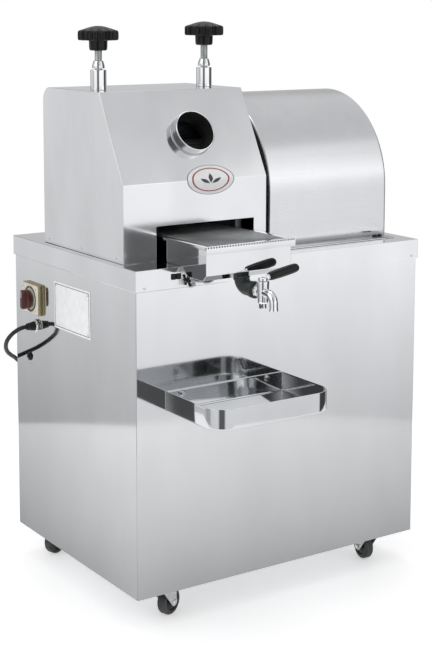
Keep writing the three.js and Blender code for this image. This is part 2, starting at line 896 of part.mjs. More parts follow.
const gearLeft = innerGap.right + head.plateThickness + gear.gap;
const directionTo = (from, to) => Math.atan2(to.z - from.z, to.y - from.y);
const toothAngle = (2 * Math.PI) / gear.teeth;

// Each lower gear is set with a gap facing the top gear's tooth on their line of centres
function gearPhase(axis) {
  const outward = directionTo(topAxis, axis);
  const topTooth = Math.round(outward / toothAngle) * toothAngle;
  const offset = topTooth - outward;
  return outward + Math.PI + toothAngle / 2 - offset;
}

function gearSolid(axis, phase) {
  const bore = roller.journal + seat;
  return cut(
    join(
      prismX(gearOutline(phase, axis), gearLeft, gearLeft + gear.width),
      rodX(boss.radius, gearLeft - gear.hubRise, gearLeft + gear.width, axis.y, axis.z, roller.journalSides),
    ),
    boreTool(axis, bore, gearLeft - 2 * gear.gap, gearLeft + 2 * gear.width),
  );
}

// Every roller has its journals in both cheeks; the rear one also drives the other two
const shaftLeft = screwXs.left - head.plateThickness / 2 - boss.left - roller.shaftOverhang;
const gearRight = gearLeft + gear.width;
const shaftRight = screwXs.right + head.plateThickness / 2 + gearStack;
const couplingBoreEnd = couplingLeft + coupling.overlap;

// Coupling: a sleeve bored for the rear roller's shaft, with a stub shaft into the reducer
function outputCoupling() {
  const { length, radius, stub, stubLength } = coupling;
  const bore = roller.journal + seat;
  const right = couplingLeft + length;
  return turnedX([
    [0, couplingBoreEnd], [bore, couplingBoreEnd], [bore, couplingLeft], [radius, couplingLeft],
    [radius, right], [stub, right], [stub, right + stubLength], [0, right + stubLength],
  ], roller.journalSides, rearAxis.y, rearAxis.z);
}

// Hood

// The hood's side view; inset 0 is the outside of the sheet, inset by the sheet its inside
function hoodProfile(inset, foot) {
  const bend = inset * Math.tan(hoodLean / 2);
  const brow = inset * Math.tan((Math.PI / 2 - hoodLean) / 2);
  const rear = hoodRear - inset;
  const top = hoodTop - inset;
  const round = hood.rearRound - inset;
  return [
    [rear, foot],
    ...arc(rear - round, top - round, round, 0, 90, 6),
    [hood.front + hood.slopeRun + brow, top],
    [hood.front + inset, topZ + hood.upright - bend],
    [hood.front + inset, foot],
  ];
}

// The feed tube stands square to the hood's slope
function onSlope(geometry) {
  const y = hood.front + feedTube.alongSlope * Math.sin(hoodLean);
  const z = topZ + hood.upright + feedTube.alongSlope * Math.cos(hoodLean);
  return geometry.rotateX(Math.PI / 2 - hoodLean).translate(headX + feedTube.offset, y, z);
}

function headHood() {
  const { sheet } = hood;
  const below = deck - sheet;
  const openingHalf = chuteHalf + chute.openingSide;
  const spigotHole = sleeve.spigotRadius + seat;
  const shaftHole = roller.journal + 5 * sheet;
  return cut(
    prismX(hoodProfile(0, deck), hoodLeft, hoodRight),
    prismX(hoodProfile(sheet, below), hoodLeft + sheet, hoodRight - sheet),
    box(troughLeft - slot.leftRoom, troughRight + slot.rightRoom,
      hood.front - sheet, hood.front + 2 * sheet, below, topZ + slot.height),
    box(headX - openingHalf, headX + openingHalf,
      hoodRear - 2 * sheet, hoodRear + sheet, topZ + chute.openingFoot, topZ + chute.openingTop),
    rodZ(spigotHole, hoodTop - 2 * sheet, hoodTop + sheet, screwXs.left, head.screwY, sleeve.sides),
    rodZ(spigotHole, hoodTop - 2 * sheet, hoodTop + sheet, screwXs.right, head.screwY, sleeve.sides),
    onSlope(rodZ(feedTube.radius + seat, -4 * sheet, 4 * sheet, 0, 0, feedTube.sides)),
    boreTool(rearAxis, shaftHole, hoodRight - 3 * sheet, hoodRight + sheet),
  );
}

function feedTubeSolid() {
  const { radius, wall, reach, standOut, sides } = feedTube;
  return onSlope(turnedZ(ringProfile(radius - wall, radius, -reach, standOut), sides));
}

// The chute carries the pressed cane out of the back, over the cabinet's rear edge
function bagasseChute() {
  const { wall, sheet, startY, endY, fall, flange, openingFoot, openingTop } = chute;
  const floorAt = (y) => topZ + chute.startHeight - fall * (y - startY);
  const [x0, x1] = [headX - chuteHalf, headX + chuteHalf];
  const channel = prismX([
    [startY, floorAt(startY)], [endY, floorAt(endY)],
    [endY, floorAt(endY) + wall], [startY, floorAt(startY) + wall],
  ], x0, x1);
  const frame = box(x0 - flange, x1 + flange, hoodRear + seat, hoodRear + seat + sheet,
    topZ + openingFoot - flange, topZ + openingTop + flange);
  const ceiling = topZ + openingTop - sheet;
  const inside = prismX([
    [startY - sheet, floorAt(startY - sheet) + sheet], [endY + sheet, floorAt(endY + sheet) + sheet],
    [endY + sheet, ceiling], [startY - sheet, ceiling],
  ], x0 + sheet, x1 - sheet);
  return cut(join(channel, frame), inside);
}

// Drive

function coverProfile(inset, foot) {
  const round = cover.radius - inset;
  return [[barrel.y + round, foot], ...arc(barrel.y, barrel.z, round, 0, 180, 28), [barrel.y - round, foot]];
}

// Half-barrel cover with a turned-out foot along its front
function driveCover() {
  const { sheet, foot, footShort, front, shaftHole } = cover;
  return cut(
    join(
      prismX(coverProfile(0, deck), coverLeft, coverRight),
      box(coverLeft, coverRight - footShort, front - foot, front + sheet / 2, deck, deck + sheet),
    ),
    prismX(coverProfile(sheet, deck - sheet), coverLeft + sheet, coverRight - sheet),
    boreTool(rearAxis, shaftHole, coverLeft - sheet, coverLeft + 2 * sheet),
  );
}

// Side view of a V-belt groove, from one edge of the rim to the other
function groove(radius) {
  const half = pulley.width / 2;
  const bottom = belt.width / 2 + belt.grooveSide;
  const depth = pulley.grooveDepth;
  return [
    [radius, -half], [radius, -bottom - belt.grooveFlare], [radius - depth, -bottom],
    [radius - depth, bottom], [radius, bottom + belt.grooveFlare], [radius, half],
  ];
}

// Large pulley on the reducer's input shaft, with lightening holes in its web
function drivenPulley() {
  const { radius, width, rimDepth, web, hubRadius, hubWidth, shaftRadius, shaftDepth, windows } = pulley;
  const shaftEnd = reducerRight - shaftDepth - pulleyX;
  const inner = radius - rimDepth;
  const wheel = turnedX([
    [0, shaftEnd], [shaftRadius, shaftEnd], [shaftRadius, -hubWidth / 2], [hubRadius, -hubWidth / 2],
    [hubRadius, -web / 2], [inner, -web / 2], [inner, -width / 2], ...groove(radius), [inner, width / 2],
    [inner, web / 2], [hubRadius, web / 2], [hubRadius, hubWidth / 2], [0, hubWidth / 2],
  ], pulley.sides, barrel.y, barrel.z).translate(pulleyX, 0, 0);
  const ring = (inner + hubRadius) / 2;
  const holes = arc(barrel.y, barrel.z, ring, 90, 90 + 360 * (1 - 1 / windows), windows - 1).map(
    ([y, z]) => rodX(pulley.windowRadius, pulleyX - web, pulleyX + web, y, z, pulley.windowSides),
  );
  return cut(wheel, ...holes);
}

const motorRight = pulleyX - pulley.width / 2 - motor.noseGap;
const motorLeft = motorRight - motor.length;

function motorPulley() {
  const { shaftRadius, shaftDepth, pulleyRadius } = motor;
  const shaftEnd = motorRight - shaftDepth - pulleyX;
  return turnedX([
    [0, shaftEnd], [shaftRadius, shaftEnd], [shaftRadius, -pulley.width / 2],
    ...groove(pulleyRadius), [0, pulley.width / 2],
  ], 16, motorAxis.y, motorAxis.z).translate(pulleyX, 0, 0);
}

// The belt's outline is two arcs joined by their common tangents
function beltOutline(rise) {
  const depth = pulley.grooveDepth - belt.clearance - rise;
  const tangent = THREE.MathUtils.radToDeg(
    Math.asin((pulley.radius - motor.pulleyRadius) / (barrel.z - motorAxis.z)),
  );
  return [
    ...arc(barrel.y, barrel.z, pulley.radius - depth, -tangent, 180 + tangent, 24),
    ...arc(motorAxis.y, motorAxis.z, motor.pulleyRadius - depth, 180 + tangent, 360 - tangent, 10),
  ];
}

function driveBelt() {
  const loop = asShape(beltOutline(belt.thickness));
  loop.holes.push(new THREE.Path(beltOutline(0).map(([y, z]) => new THREE.Vector2(y, z))));
  return prismX(loop, pulleyX - belt.width / 2, pulleyX + belt.width / 2);
}

// Reducer: cast case with an output boss on its left and an input boss on its right
function gearReducer() {
  const { bossReach, outputBoss, inputBoss, headRadius, footThickness, footWidth, boreDepth } = reducer;
  const [left, right] = [reducerLeft, reducerRight];
  const caseOutline = [
    [rearAxis.y - headRadius, deck], [rearAxis.y + headRadius, deck],
    ...arc(rearAxis.y, rearAxis.z, headRadius, 0, 180, 14),
  ];
  return cut(
    join(
      prismX(caseOutline, left, right),
      box(left, right, rearAxis.y - footWidth / 2, rearAxis.y + footWidth / 2, deck, deck + footThickness),
      rodX(outputBoss, left - bossReach, left + bossReach, rearAxis.y, rearAxis.z, 16),
      rodX(inputBoss, right - bossReach, right + bossReach, barrel.y, barrel.z, 16),
    ),
    boreTool(rearAxis, coupling.stub + running, left - 2 * bossReach, left + boreDepth),
    boreTool(barrel, pulley.shaftRadius + running, right - boreDepth, right + 2 * bossReach),
  );
}

// Induction motor: finned body, two end bells, feet and a terminal box
function motorHousing() {
  const { radius, finDepth, fins, finShare, gapStart, gapEnd, endBell, bellNose, axisHeight } = motor;
  const { footWidth, footThickness, boxWidth, boxHeight, pedestalWidth, pedestalDrop } = motor;
  const ribs = [];
  const step = 360 / fins;
  for (let i = 0; i < fins; i += 1) {
    ribs.push(...arc(motorAxis.y, motorAxis.z, radius, i * step, (i + finShare) * step, 1));
    ribs.push(
      ...arc(motorAxis.y, motorAxis.z, radius - finDepth, (i + gapStart) * step, (i + gapEnd) * step, 1),
    );
  }
  const [ribStart, ribEnd] = [motorLeft + endBell, motorRight - endBell];
  const bell = radius - finDepth / 2;
  const footTop = motorAxis.z - axisHeight + seat;
  const [y, z] = [motorAxis.y, motorAxis.z];
  return cut(
    join(
      prismX(ribs, ribStart, ribEnd),
      turnedX([
        [0, motorLeft], [bellNose, motorLeft], [bell, motorLeft + endBell / 2],
        [bell, motorRight - endBell / 2], [bellNose, motorRight], [0, motorRight],
      ], 20, y, z),
      box(ribStart, ribEnd, y - footWidth / 2, y + footWidth / 2, footTop, footTop + footThickness),
      box(ribStart, ribEnd, y - pedestalWidth / 2, y + pedestalWidth / 2, footTop, z - pedestalDrop),
      box(ribStart, ribStart + boxWidth, y - boxWidth / 2, y + boxWidth / 2, z, z + radius + boxHeight),
    ),
    rodX(motor.shaftRadius + running, motorRight - motor.shaftDepth - 2 * seat, motorRight + endBell, y, z),
  );
}

// Rails on the base plate and a plate across them carry the motor's feet
function motorMount() {
  const { width, length, thickness, rail, railWidth } = mount;
  const middle = (motorLeft + motorRight) / 2;
  const [x0, x1] = [middle - length / 2, middle + length / 2];
  const top = panFloor + rail;
  const [y0, y1] = [motorAxis.y - width / 2, motorAxis.y + width / 2];
  return join(
    box(x0, x1, y0, y1, top - thickness, top),
    box(x0, x1, y0, y0 + railWidth, panFloor + seat, top - thickness / 2),
    box(x0, x1, y1 - railWidth, y1, panFloor + seat, top - thickness / 2),
  );
}

// Juice path

function troughProfile(inset, height, rear) {
  const { front, sumpRear, sumpToe, toeRise, sumpFloorRear, sumpFloorFront, sumpLip } = trough;
  return [
    [rear, deck + inset], [sumpRear + inset / 2, deck + inset], [sumpToe + inset / 2, sumpZ + toeRise + inset],
    [sumpFloorRear, sumpZ + inset], [sumpFloorFront + inset / 2, sumpZ + inset],
    [front + inset, sumpZ + sumpLip + inset / 2], [front + inset, height], [rear, height],
  ];
}

function juiceTrough() {
  const { sheet, rear } = trough;
  return cut(
    prismX(troughProfile(0, troughTop, rear), troughLeft, troughRight),
    prismX(troughProfile(sheet, troughTop + sheet, rear - sheet), troughLeft + sheet, troughRight - sheet),
    rodZ(outlet.bore, sumpZ - sheet, sumpZ + 3 * sheet, outletX, outlet.y, 16),
  );
}

// Removable strainer: slotted sheet with lips that hook over the trough's walls and front
function strainerScreen() {
  const { sheet, sideLip, frontLip, wing, wingRear, slotShare, slotWidth, columns, rows } = strainer;
  const [left, right] = [troughLeft - seat - sheet, troughRight + seat + sheet];
  const [front, rear] = [trough.front - seat - sheet, trough.rear];
  const [bottom, top] = [troughTop + seat, troughTop + seat + sheet];
  const rightEdge = troughRight + wing;
  const slots = [];
  const [xa, xb] = [troughLeft + strainer.margin, troughRight - strainer.margin];
  const [ya, yb] = [trough.front + strainer.rearMargin, trough.rear - strainer.rearMargin];
  const spacing = (xb - xa) / (columns - 1);
  const halfLength = (spacing * slotShare) / 2;
  for (let i = 0; i < columns; i += 1) {
    const x = xa + spacing * i;
    for (let j = 0; j < rows; j += 1) {
      const y = ya + ((yb - ya) * j) / (rows - 1);
      slots.push(box(x - halfLength, x + halfLength, y - slotWidth / 2, y + slotWidth / 2,
        bottom - sheet, top + sheet));
    }
  }
  const body = join(
    box(left, right, front, rear, bottom, top),
    box(right - sheet, rightEdge, front, wingRear, bottom, top),
    box(left, left + sheet, front, rear, top - sideLip, top),
    box(right - sheet, right, front, rear, top - sideLip, top),
    box(left, rightEdge, front, front + sheet, top - frontLip, top),
  );
  return cut(body, ...slots);
}

function pathYZ(x, points) {
  return new THREE.CatmullRomCurve3(points.map(([y, z]) => new THREE.Vector3(x, y, z)));
}

function outletElbow() {
  const { y, radius, bore, bend, endY } = outlet;
  const top = sumpZ - seat;
  const bendTop = tapZ + bend;
  const path = pathYZ(outletX, [
    [y, top], [y, (top + bendTop) / 2],
    ...arc(y - bend, bendTop, bend, 0, -90, 6), [(y - bend + endY) / 2, tapZ], [endY, tapZ],
  ]);
  return pipe(path, radius, 12, 9, bore);
}

function alongY(geometry, y) {
  return geometry.rotateX(Math.PI / 2).translate(outletX, y, tapZ);
}

function spoutPath(start, end) {
  const bend = tap.spoutBend;
  const outer = tap.spoutY;
  return pathYZ(outletX, [
    [start, tapZ], [(start + outer + bend) / 2, tapZ],
    ...arc(outer + bend, tapZ - bend, bend, 90, 180, 6), [outer, end],
  ]);
}

function tapBody() {
  const { collar, collarLength, barrel: neck, plugY, housingTop, housingBottom, housingHeight } = tap;
  const start = outlet.endY - seat;
  const [z0, z1] = [tapZ - housingHeight / 2, tapZ + housingHeight / 2];
  return cut(
    join(
      alongY(turnedZ(cylinderProfile(collar, 0, collarLength), 6), start),
      alongY(turnedZ(cylinderProfile(neck, 0, start - plugY), 12), start),
      turnedZ([[0, z0], [housingBottom, z0], [housingTop, z1], [0, z1]], 16, outletX, plugY),
      pipe(spoutPath(plugY, tapZ + tap.spoutEnd), tap.spoutRadius, 12, 8),
    ),
    pipe(spoutPath(plugY, tapZ + tap.spoutEnd - through), tap.spoutBore, 6, 8),
    alongY(turnedZ(cylinderProfile(tap.spoutBore, -through, start - plugY), 6), start),
    rodZ(tap.plugRadius + running, z0 - through, z1 + through, outletX, plugY, 14),
  );
}

function onLever(geometry, z) {
  return geometry.rotateY(-THREE.MathUtils.degToRad(tap.gripTilt)).translate(outletX, tap.plugY, z);
}

const tapTop = tapZ + tap.housingHeight / 2 + seat;
const leverZ = tapTop + tap.capHeight / 2;

// Shut when the lever points sideways: the plug's hole then lies across the flow
function tapPlug() {
  const { plugRadius, capRadius, capHeight, nutRadius, nutHeight, housingHeight, plugY } = tap;
  const nutTop = tapZ - housingHeight / 2 - seat;
  return cut(
    join(
      turnedZ([
        [0, nutTop - nutHeight], [nutRadius, nutTop - nutHeight], [nutRadius, nutTop], [plugRadius, nutTop],
        [plugRadius, tapTop], [capRadius, tapTop], [capRadius, tapTop + capHeight], [0, tapTop + capHeight],
      ], 14, outletX, plugY),
      onLever(turnedX(cylinderProfile(tap.leverRadius, 0, tap.leverLength), 10), leverZ),
    ),
    rodX(tap.crossBore, outletX - 3 * plugRadius, outletX + 3 * plugRadius, plugY, tapZ, 10),
  );
}

function tapGrip() {
  const { gripRadius, gripStart, gripEnd, gripEase: ease, leverLength, leverRadius } = tap;
  const [bore, depth] = [leverRadius + seat, leverLength + seat];
  return onLever(turnedX([
    [0, depth], [bore, depth], [bore, gripStart], [gripRadius - ease, gripStart],
    [gripRadius, gripStart + 2 * ease], [gripRadius, gripEnd - 3 * ease],
    [gripRadius - ease, gripEnd - ease / 2], [0, gripEnd],
  ], 14), leverZ);
}

// Cup tray with rounded front corners, hung on the front panel
function trayOutline(inset) {
  const [left, right] = [leftFace + tray.left + inset, leftFace + tray.left + tray.width - inset];
  const [back, front] = [-seat - inset, -tray.depth + inset];
  const round = tray.corner - inset;
  return [
    [right, back], [left, back],
    ...arc(left + round, front + round, round, 180, 270, 8),
    ...arc(right - round, front + round, round, 270, 360, 8),
  ];
}

function cupTray() {
  const bottom = underside + tray.bottom;
  return cut(
    prismZ(trayOutline(0), bottom, bottom + tray.height),
    prismZ(trayOutline(tray.sheet), bottom + tray.sheet, bottom + tray.height + tray.sheet),
  );
}

// Left side fittings

const switchFace = leftFace - seat - switchBox.depth;

function switchPlate() {
  const { y, width, height, depth, body, reach } = switchBox;
  const back = leftFace - seat;
  const bore = switchKnob.stem + running;
  return cut(
    join(
      box(switchFace, back, y - width / 2, y + width / 2, switchZ - height / 2, switchZ + height / 2),
      box(back - depth / 2, leftFace + reach, y - body / 2, y + body / 2,
        switchZ - body / 2, switchZ + body / 2),
    ),
    rodX(bore, switchFace - depth, switchFace + switchKnob.stemDepth + seat, y, switchZ),
  );
}

// Round knob whose two flats leave a grip bar across its face
function switchKnobSolid() {
  const { radius, height, standOff, stem, stemDepth, pointer, pointerCut: cutDepth, chamfer } = switchKnob;
  const inner = switchFace - standOff;
  const outer = inner - height;
  const knob = turnedX([
    [0, outer], [radius - chamfer, outer], [radius, outer + chamfer], [radius, inner], [stem, inner],
    [stem, switchFace + stemDepth], [0, switchFace + stemDepth],
  ], 24, switchBox.y, switchZ);
  const bar = pointer / 2;
  const [x0, x1] = [outer - through, outer + cutDepth];
  const [low, high] = [switchZ - radius, switchZ + radius];
  return cut(
    knob,
    box(x0, x1, switchBox.y + bar, switchBox.y + 2 * radius, low, high),
    box(x0, x1, switchBox.y - 2 * radius, switchBox.y - bar, low, high),
  );
}

// Overload reset button, kept in by its flange behind the panel
function resetButtonSolid() {
  const { radius, standOut, chamfer, flange, flangeThickness, stem } = resetButton;
  const flangeX = leftFace + cabinet.sheet + seat;
  const flangeEnd = flangeX + flangeThickness;
  return turnedX([
    [0, leftFace - standOut], [radius - chamfer, leftFace - standOut], [radius, leftFace - standOut + chamfer],
    [radius, flangeX], [flange, flangeX], [flange, flangeEnd], [radius, flangeEnd],
    [radius, flangeEnd + stem], [0, flangeEnd + stem],
  ], 10, resetButton.y, resetZ);
}

const glandTip = leftFace - seat - gland.length;

// Gland with a tapered strain relief outside and a nut inside the panel
function cordGland() {
  const { flange, flangeThickness, base, tip, nut, nutThickness, boreDepth, length } = gland;
  const bore = cord.radius + seat;
  const face = leftFace - seat;
  const nutStart = leftFace + cabinet.sheet + seat;
  return turnedX([
    [0, glandTip + boreDepth], [bore, glandTip + boreDepth], [bore, glandTip], [tip, glandTip],
    [base, face - flangeThickness], [flange, face - flangeThickness], [flange, face], [tip, face],
    [tip, nutStart], [nut, nutStart], [nut, nutStart + nutThickness], [0, nutStart + nutThickness],
  ], 14, gland.y, glandZ);
}

// Cord: out of the gland, round the rear edge, down the back and along the floor to the coil.
// x is measured from the left side; z from the gland, as a share of the drop, or from the floor
const cordStart = new THREE.Vector3(glandTip + cord.inGland, gland.y, glandZ);
const coilLow = cord.radius + 0.1;
const coilX = leftFace + coil.fromSide;
const coilStart = new THREE.Vector3(coilX - coil.lead, coil.centreY - coil.outer, coilLow);
const cordLoop = [
  [-34, 372, -1.5], [-46, 379, -10], [-51, 394, -25], [-46, 414, -42], [-33, 436, -59],
  [-15, 457, -73], [4, 475, -86], [22, 484, -105],
];
const cordDrop = [
  [35, 487, 0.919], [42, 488, 0.784], [48, 488, 0.622], [54, 489, 0.459], [60, 491, 0.297],
  [68, 493, 0.162], [76, 493.2, 0.092],
];
const cordFloor = [[89, 493, 15], [107, 493, 6], [125, 493, coilLow + 0.2]];

function powerCord() {
  const dropHeight = glandZ + cordLoop[cordLoop.length - 1][2];
  const cordRoute = [
    ...cordLoop.map(([x, y, z]) => [x, y, glandZ + z]),
    ...cordDrop.map(([x, y, share]) => [x, y, dropHeight * share]),
    ...cordFloor,
  ];
  const route = [
    cordStart, new THREE.Vector3(glandTip, gland.y, glandZ),
    ...cordRoute.map(([x, y, z]) => new THREE.Vector3(leftFace + x, y, z)),
    new THREE.Vector3(coilStart.x - coil.lead, coilStart.y, coilLow),
    new THREE.Vector3(coilStart.x - seat, coilStart.y, coilLow),
  ];
  return pipe(new THREE.CatmullRomCurve3(route), cord.radius, cord.sides, cord.steps);
}

// Coil: two turns inwards on the floor, half a turn that climbs, two turns outwards on top,
// then a straight tail to the plug
const woundTurns = 2 * coil.turns + 0.5;

class Winding extends THREE.Curve {
  getPoint(t, target = new THREE.Vector3()) {
    const turn = t * woundTurns;
    const climbing = Math.min(1, Math.max(0, 2 * (turn - coil.turns)));
    const wound = turn < coil.turns ? turn : Math.min(coil.turns, coil.turns - (turn - coil.turns - 0.5));
    const radius = coil.outer - coil.pitch * wound;
    const angle = 2 * Math.PI * turn - Math.PI / 2;
    return target.set(
      coilX + radius * Math.cos(angle),
      coil.centreY + radius * Math.sin(angle),
      coilLow + coil.climb * climbing,
    );
  }
}

function coilPoints() {
  const count = woundTurns * coil.stepsPerTurn;
  const winding = new Winding();
  const points = Array.from({ length: count + 1 }, (_, i) => winding.getPoint(i / count));
  const last = points[count];
  points.unshift(new THREE.Vector3(coilStart.x + coil.lead / 2, coilStart.y, coilLow));
  points.unshift(coilStart);
  points.push(new THREE.Vector3(last.x - coil.tail / 2, last.y, last.z));
  points.push(new THREE.Vector3(last.x - coil.tail, last.y, last.z));
  return points;
}

// Least distance between the surfaces of two stretches of the coil
function coilGap(points) {
  const apart = Math.ceil((4 * coil.stepsPerTurn) / 3);
  let least = Infinity;
  const fine = new THREE.CatmullRomCurve3(points).getSpacedPoints(points.length * 4);
  for (let i = 0; i < fine.length; i += 1) {
    for (let j = i + apart; j < fine.length; j += 1) least = Math.min(least, fine[i].distanceTo(fine[j]));
  }
  return least - 2 * cord.radius;
}

const coilPath = coilPoints();
console.log(`least gap of the coil to itself: ${coilGap(coilPath).toFixed(2)} mm`);

function cordCoil() {
  return pipe(new THREE.CatmullRomCurve3(coilPath), cord.radius, coil.sides, coilPath.length);
}

// Plug: moulded body with a neck for the cord and two blades, lying on the floor
function plugSolid() {
  const { length, neck, radius, edge, blade, bladeWidth, bladeThickness, neckLength, bladeSpacing } = plug;
  const end = coilPath[coilPath.length - 1];
  const start = end.x - seat;
  const face = start - length;
  const body = turnedX([
    [0, face], [radius - edge, face], [radius, face + edge], [radius, start - neckLength],
    [neck, start - neckLength / 3], [neck, start], [0, start],
  ], 16, end.y, end.z);
  const bladeAt = (y) => box(face - blade, face + edge, y - bladeThickness / 2, y + bladeThickness / 2,
    end.z - bladeWidth / 2, end.z + bladeWidth / 2);
  return join(body, bladeAt(end.y - bladeSpacing / 2), bladeAt(end.y + bladeSpacing / 2));
}

// The machine
place('left_side_panel', leftSidePanel(), polishedSteel());
place('right_side_panel', sidePanel(1), polishedSteel());
place('front_panel', frontPanel(), polishedSteel());
place('rear_panel', rearPanel(), polishedSteel());
place('base_plate', basePlatePan(), satinSteel());
place('worktop', worktopPan(), polishedSteel());

place('motor_mount', motorMount(), zinc());
place('motor_housing', motorHousing(), castMetal());
place('motor_pulley', motorPulley(), castMetal());
place('drive_belt', driveBelt(), blackRubber());
place('gear_reducer', gearReducer(), castMetal());
place('driven_pulley', drivenPulley(), castMetal());
place('drive_cover', driveCover(), polishedSteel());

place('head_left_plate', cheekPlate('left'), satinSteel());
place('head_right_plate', cheekPlate('right'), satinSteel());
place('tie_bar_front', tieBarSolid(tieBar.front), satinSteel());
place('tie_bar_rear', tieBarSolid(tieBar.rear), satinSteel());
place('turner_plate', turnerPlate(), satinSteel());
place('top_roller', rollerSolid(topAxis, shaftLeft, shaftRight), satinSteel());
place('front_roller', rollerSolid(frontAxis, shaftLeft, shaftRight), satinSteel());
place('rear_roller', rollerSolid(rearAxis, shaftLeft, couplingBoreEnd - seat), satinSteel());
place('top_roller_gear', gearSolid(topAxis, 0), zinc());
place('front_roller_gear', gearSolid(frontAxis, gearPhase(frontAxis)), zinc());
place('rear_roller_gear', gearSolid(rearAxis, gearPhase(rearAxis)), zinc());
place('output_coupling', outputCoupling(), zinc());

for (const side of ['left', 'right']) {
  place(`${side}_bearing_block`, bearingBlock(side), satinSteel());
  place(`${side}_pressure_screw`, pressureScrew(side), zinc());
  place(`${side}_screw_sleeve`, screwSleeve(side), chrome());
  place(`${side}_lock_nut`, lockNutSolid(side), chrome());
  place(`${side}_star_knob`, starKnobSolid(side), blackPlastic());
}

place('head_hood', headHood(), polishedSteel());
place('feed_tube', feedTubeSolid(), polishedSteel());
place('bagasse_chute', bagasseChute(), satinSteel());

place('juice_trough', juiceTrough(), polishedSteel());
place('strainer_screen', strainerScreen(), polishedSteel());
place('outlet_elbow', outletElbow(), darkFitting());
place('tap_body', tapBody(), chrome());
place('tap_plug', tapPlug(), chrome());
place('tap_grip', tapGrip(), blackPlastic());
place('cup_tray', cupTray(), polishedSteel());

place('switch_plate', switchPlate(), creamPlastic());
place('switch_knob', switchKnobSolid(), redPlastic());
place('reset_button', resetButtonSolid(), blackPlastic());
place('cord_gland', cordGland(), blackPlastic());
place('power_cord', powerCord(), blackRubber());
place('cord_coil', cordCoil(), blackRubber());
place('plug', plugSolid(), blackRubber());

for (const [corner, [x, y]] of Object.entries(casterPlaces())) {
  const turn = THREE.MathUtils.degToRad(casterTurns[corner]);
  place(`caster_fork_${corner}`, casterFork().rotateZ(turn).translate(x, y, 0), zinc());
  const wheel = casterWheel().translate(caster.trail, 0, axleZ).rotateZ(turn);
  place(`caster_wheel_${corner}`, wheel.translate(x, y, 0), blackRubber());
}

// The origin goes to the centre of the footprint; the loose cord is left out of that measure
const footprint = new THREE.Box3();
for (const mesh of machine.children) {
  if (!['power_cord', 'cord_coil', 'plug'].includes(mesh.name)) footprint.expandByObject(mesh);
}
const middle = footprint.getCenter(new THREE.Vector3());
machine.position.set(-middle.x, -middle.y, -footprint.min.z);

const group = new THREE.Group();
group.name = 'sugarcane_juicer';
group.add(machine);

export default group;
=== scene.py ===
"""Electric three-roller sugarcane juicer on a wheeled cabinet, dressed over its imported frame."""
import json
import logging
import math
from dataclasses import dataclass
from enum import Enum
from typing import Callable, Sequence

import bmesh
import bpy
import numpy as np
from mathutils import Matrix, Vector

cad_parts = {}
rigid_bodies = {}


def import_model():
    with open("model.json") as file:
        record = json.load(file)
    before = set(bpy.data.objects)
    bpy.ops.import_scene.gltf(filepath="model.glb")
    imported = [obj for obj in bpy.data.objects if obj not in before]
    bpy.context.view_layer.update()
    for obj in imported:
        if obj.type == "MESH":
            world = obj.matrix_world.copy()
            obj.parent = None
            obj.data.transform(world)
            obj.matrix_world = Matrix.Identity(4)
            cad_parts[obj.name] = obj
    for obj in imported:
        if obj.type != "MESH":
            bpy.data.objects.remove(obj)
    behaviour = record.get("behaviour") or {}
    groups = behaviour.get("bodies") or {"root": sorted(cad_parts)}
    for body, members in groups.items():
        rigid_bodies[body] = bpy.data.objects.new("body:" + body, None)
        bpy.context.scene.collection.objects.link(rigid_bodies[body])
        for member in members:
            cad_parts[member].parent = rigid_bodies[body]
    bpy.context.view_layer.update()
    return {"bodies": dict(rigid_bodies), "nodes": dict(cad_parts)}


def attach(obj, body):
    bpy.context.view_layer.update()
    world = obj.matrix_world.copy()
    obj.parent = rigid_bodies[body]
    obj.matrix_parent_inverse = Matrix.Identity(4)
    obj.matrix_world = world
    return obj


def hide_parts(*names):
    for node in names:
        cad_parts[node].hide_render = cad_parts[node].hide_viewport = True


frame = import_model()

log = logging.getLogger("juicer")
Array, Object, Socket = np.ndarray, bpy.types.Object, bpy.types.NodeSocket
Row = Sequence[float]
MM = 0.001
SHIFT = np.array([12.75, -155.5, 0.0])
LEFT, RIGHT, FRONT, BACK, DOWN, UP = (-1, 0, 0), (1, 0, 0), (0, -1, 0), (0, 1, 0), (0, 0, -1), (0, 0, 1)
WHITE = (1.0, 1.0, 1.0, 1.0)


def at(x: float, y: float, z: float) -> Vector:
    """A place in the part's drawing, in millimetres, as metres in the row frame."""
    return Vector((np.array([x, y, z]) + SHIFT) * MM)


def drawing() -> Matrix:
    """From the drawing's millimetres to the row frame."""
    return Matrix.Scale(MM, 4) @ Matrix.Translation(SHIFT)


def slid(x: float, y: float, z: float) -> Matrix:
    """A plain move."""
    return Matrix.Translation((x, y, z))


def facing(place: Vector, normal: Row, up: Row) -> Matrix:
    """A turn and a move that lay a piece against a face.

    Args:
        place: Where the piece's own origin goes.
        normal: The way the piece's own Z looks.
        up: The way its own Y looks, as near as the normal allows.

    Returns:
        The matrix from the piece's own millimetres to metres in the row frame.
    """
    z = Vector(normal).normalized()
    x = Vector(up).cross(z).normalized()
    turn = Matrix((x, z.cross(x), z)).transposed().to_4x4()
    return Matrix.Translation(place) @ turn @ Matrix.Scale(MM, 4)


def spot(x: float, y: float, z: float, way: Row) -> Matrix:
    """A place in the drawing that looks one way; its own Y looks up, or back where it looks up or down."""
    return facing(at(x, y, z), way, BACK if way[2] else UP)


# Shapes, in millimetres


@dataclass(frozen=True)
class Form:
    """Points and faces of one shape, before it becomes a piece."""

    points: Array
    faces: list[tuple[int, ...]]

    def moved(self, matrix: Matrix) -> "Form":
        """The same shape after the matrix."""
        m = np.array(matrix)
        return Form(self.points @ m[:3, :3].T + m[:3, 3], self.faces)

    @staticmethod
    def joined(forms: Sequence["Form"]) -> "Form":
        """Several shapes as one."""
        starts = np.cumsum([0] + [len(f.points) for f in forms])
        faces = [tuple(i + int(s) for i in face) for f, s in zip(forms, starts) for face in f.faces]
        return Form(np.vstack([f.points for f in forms]), faces)


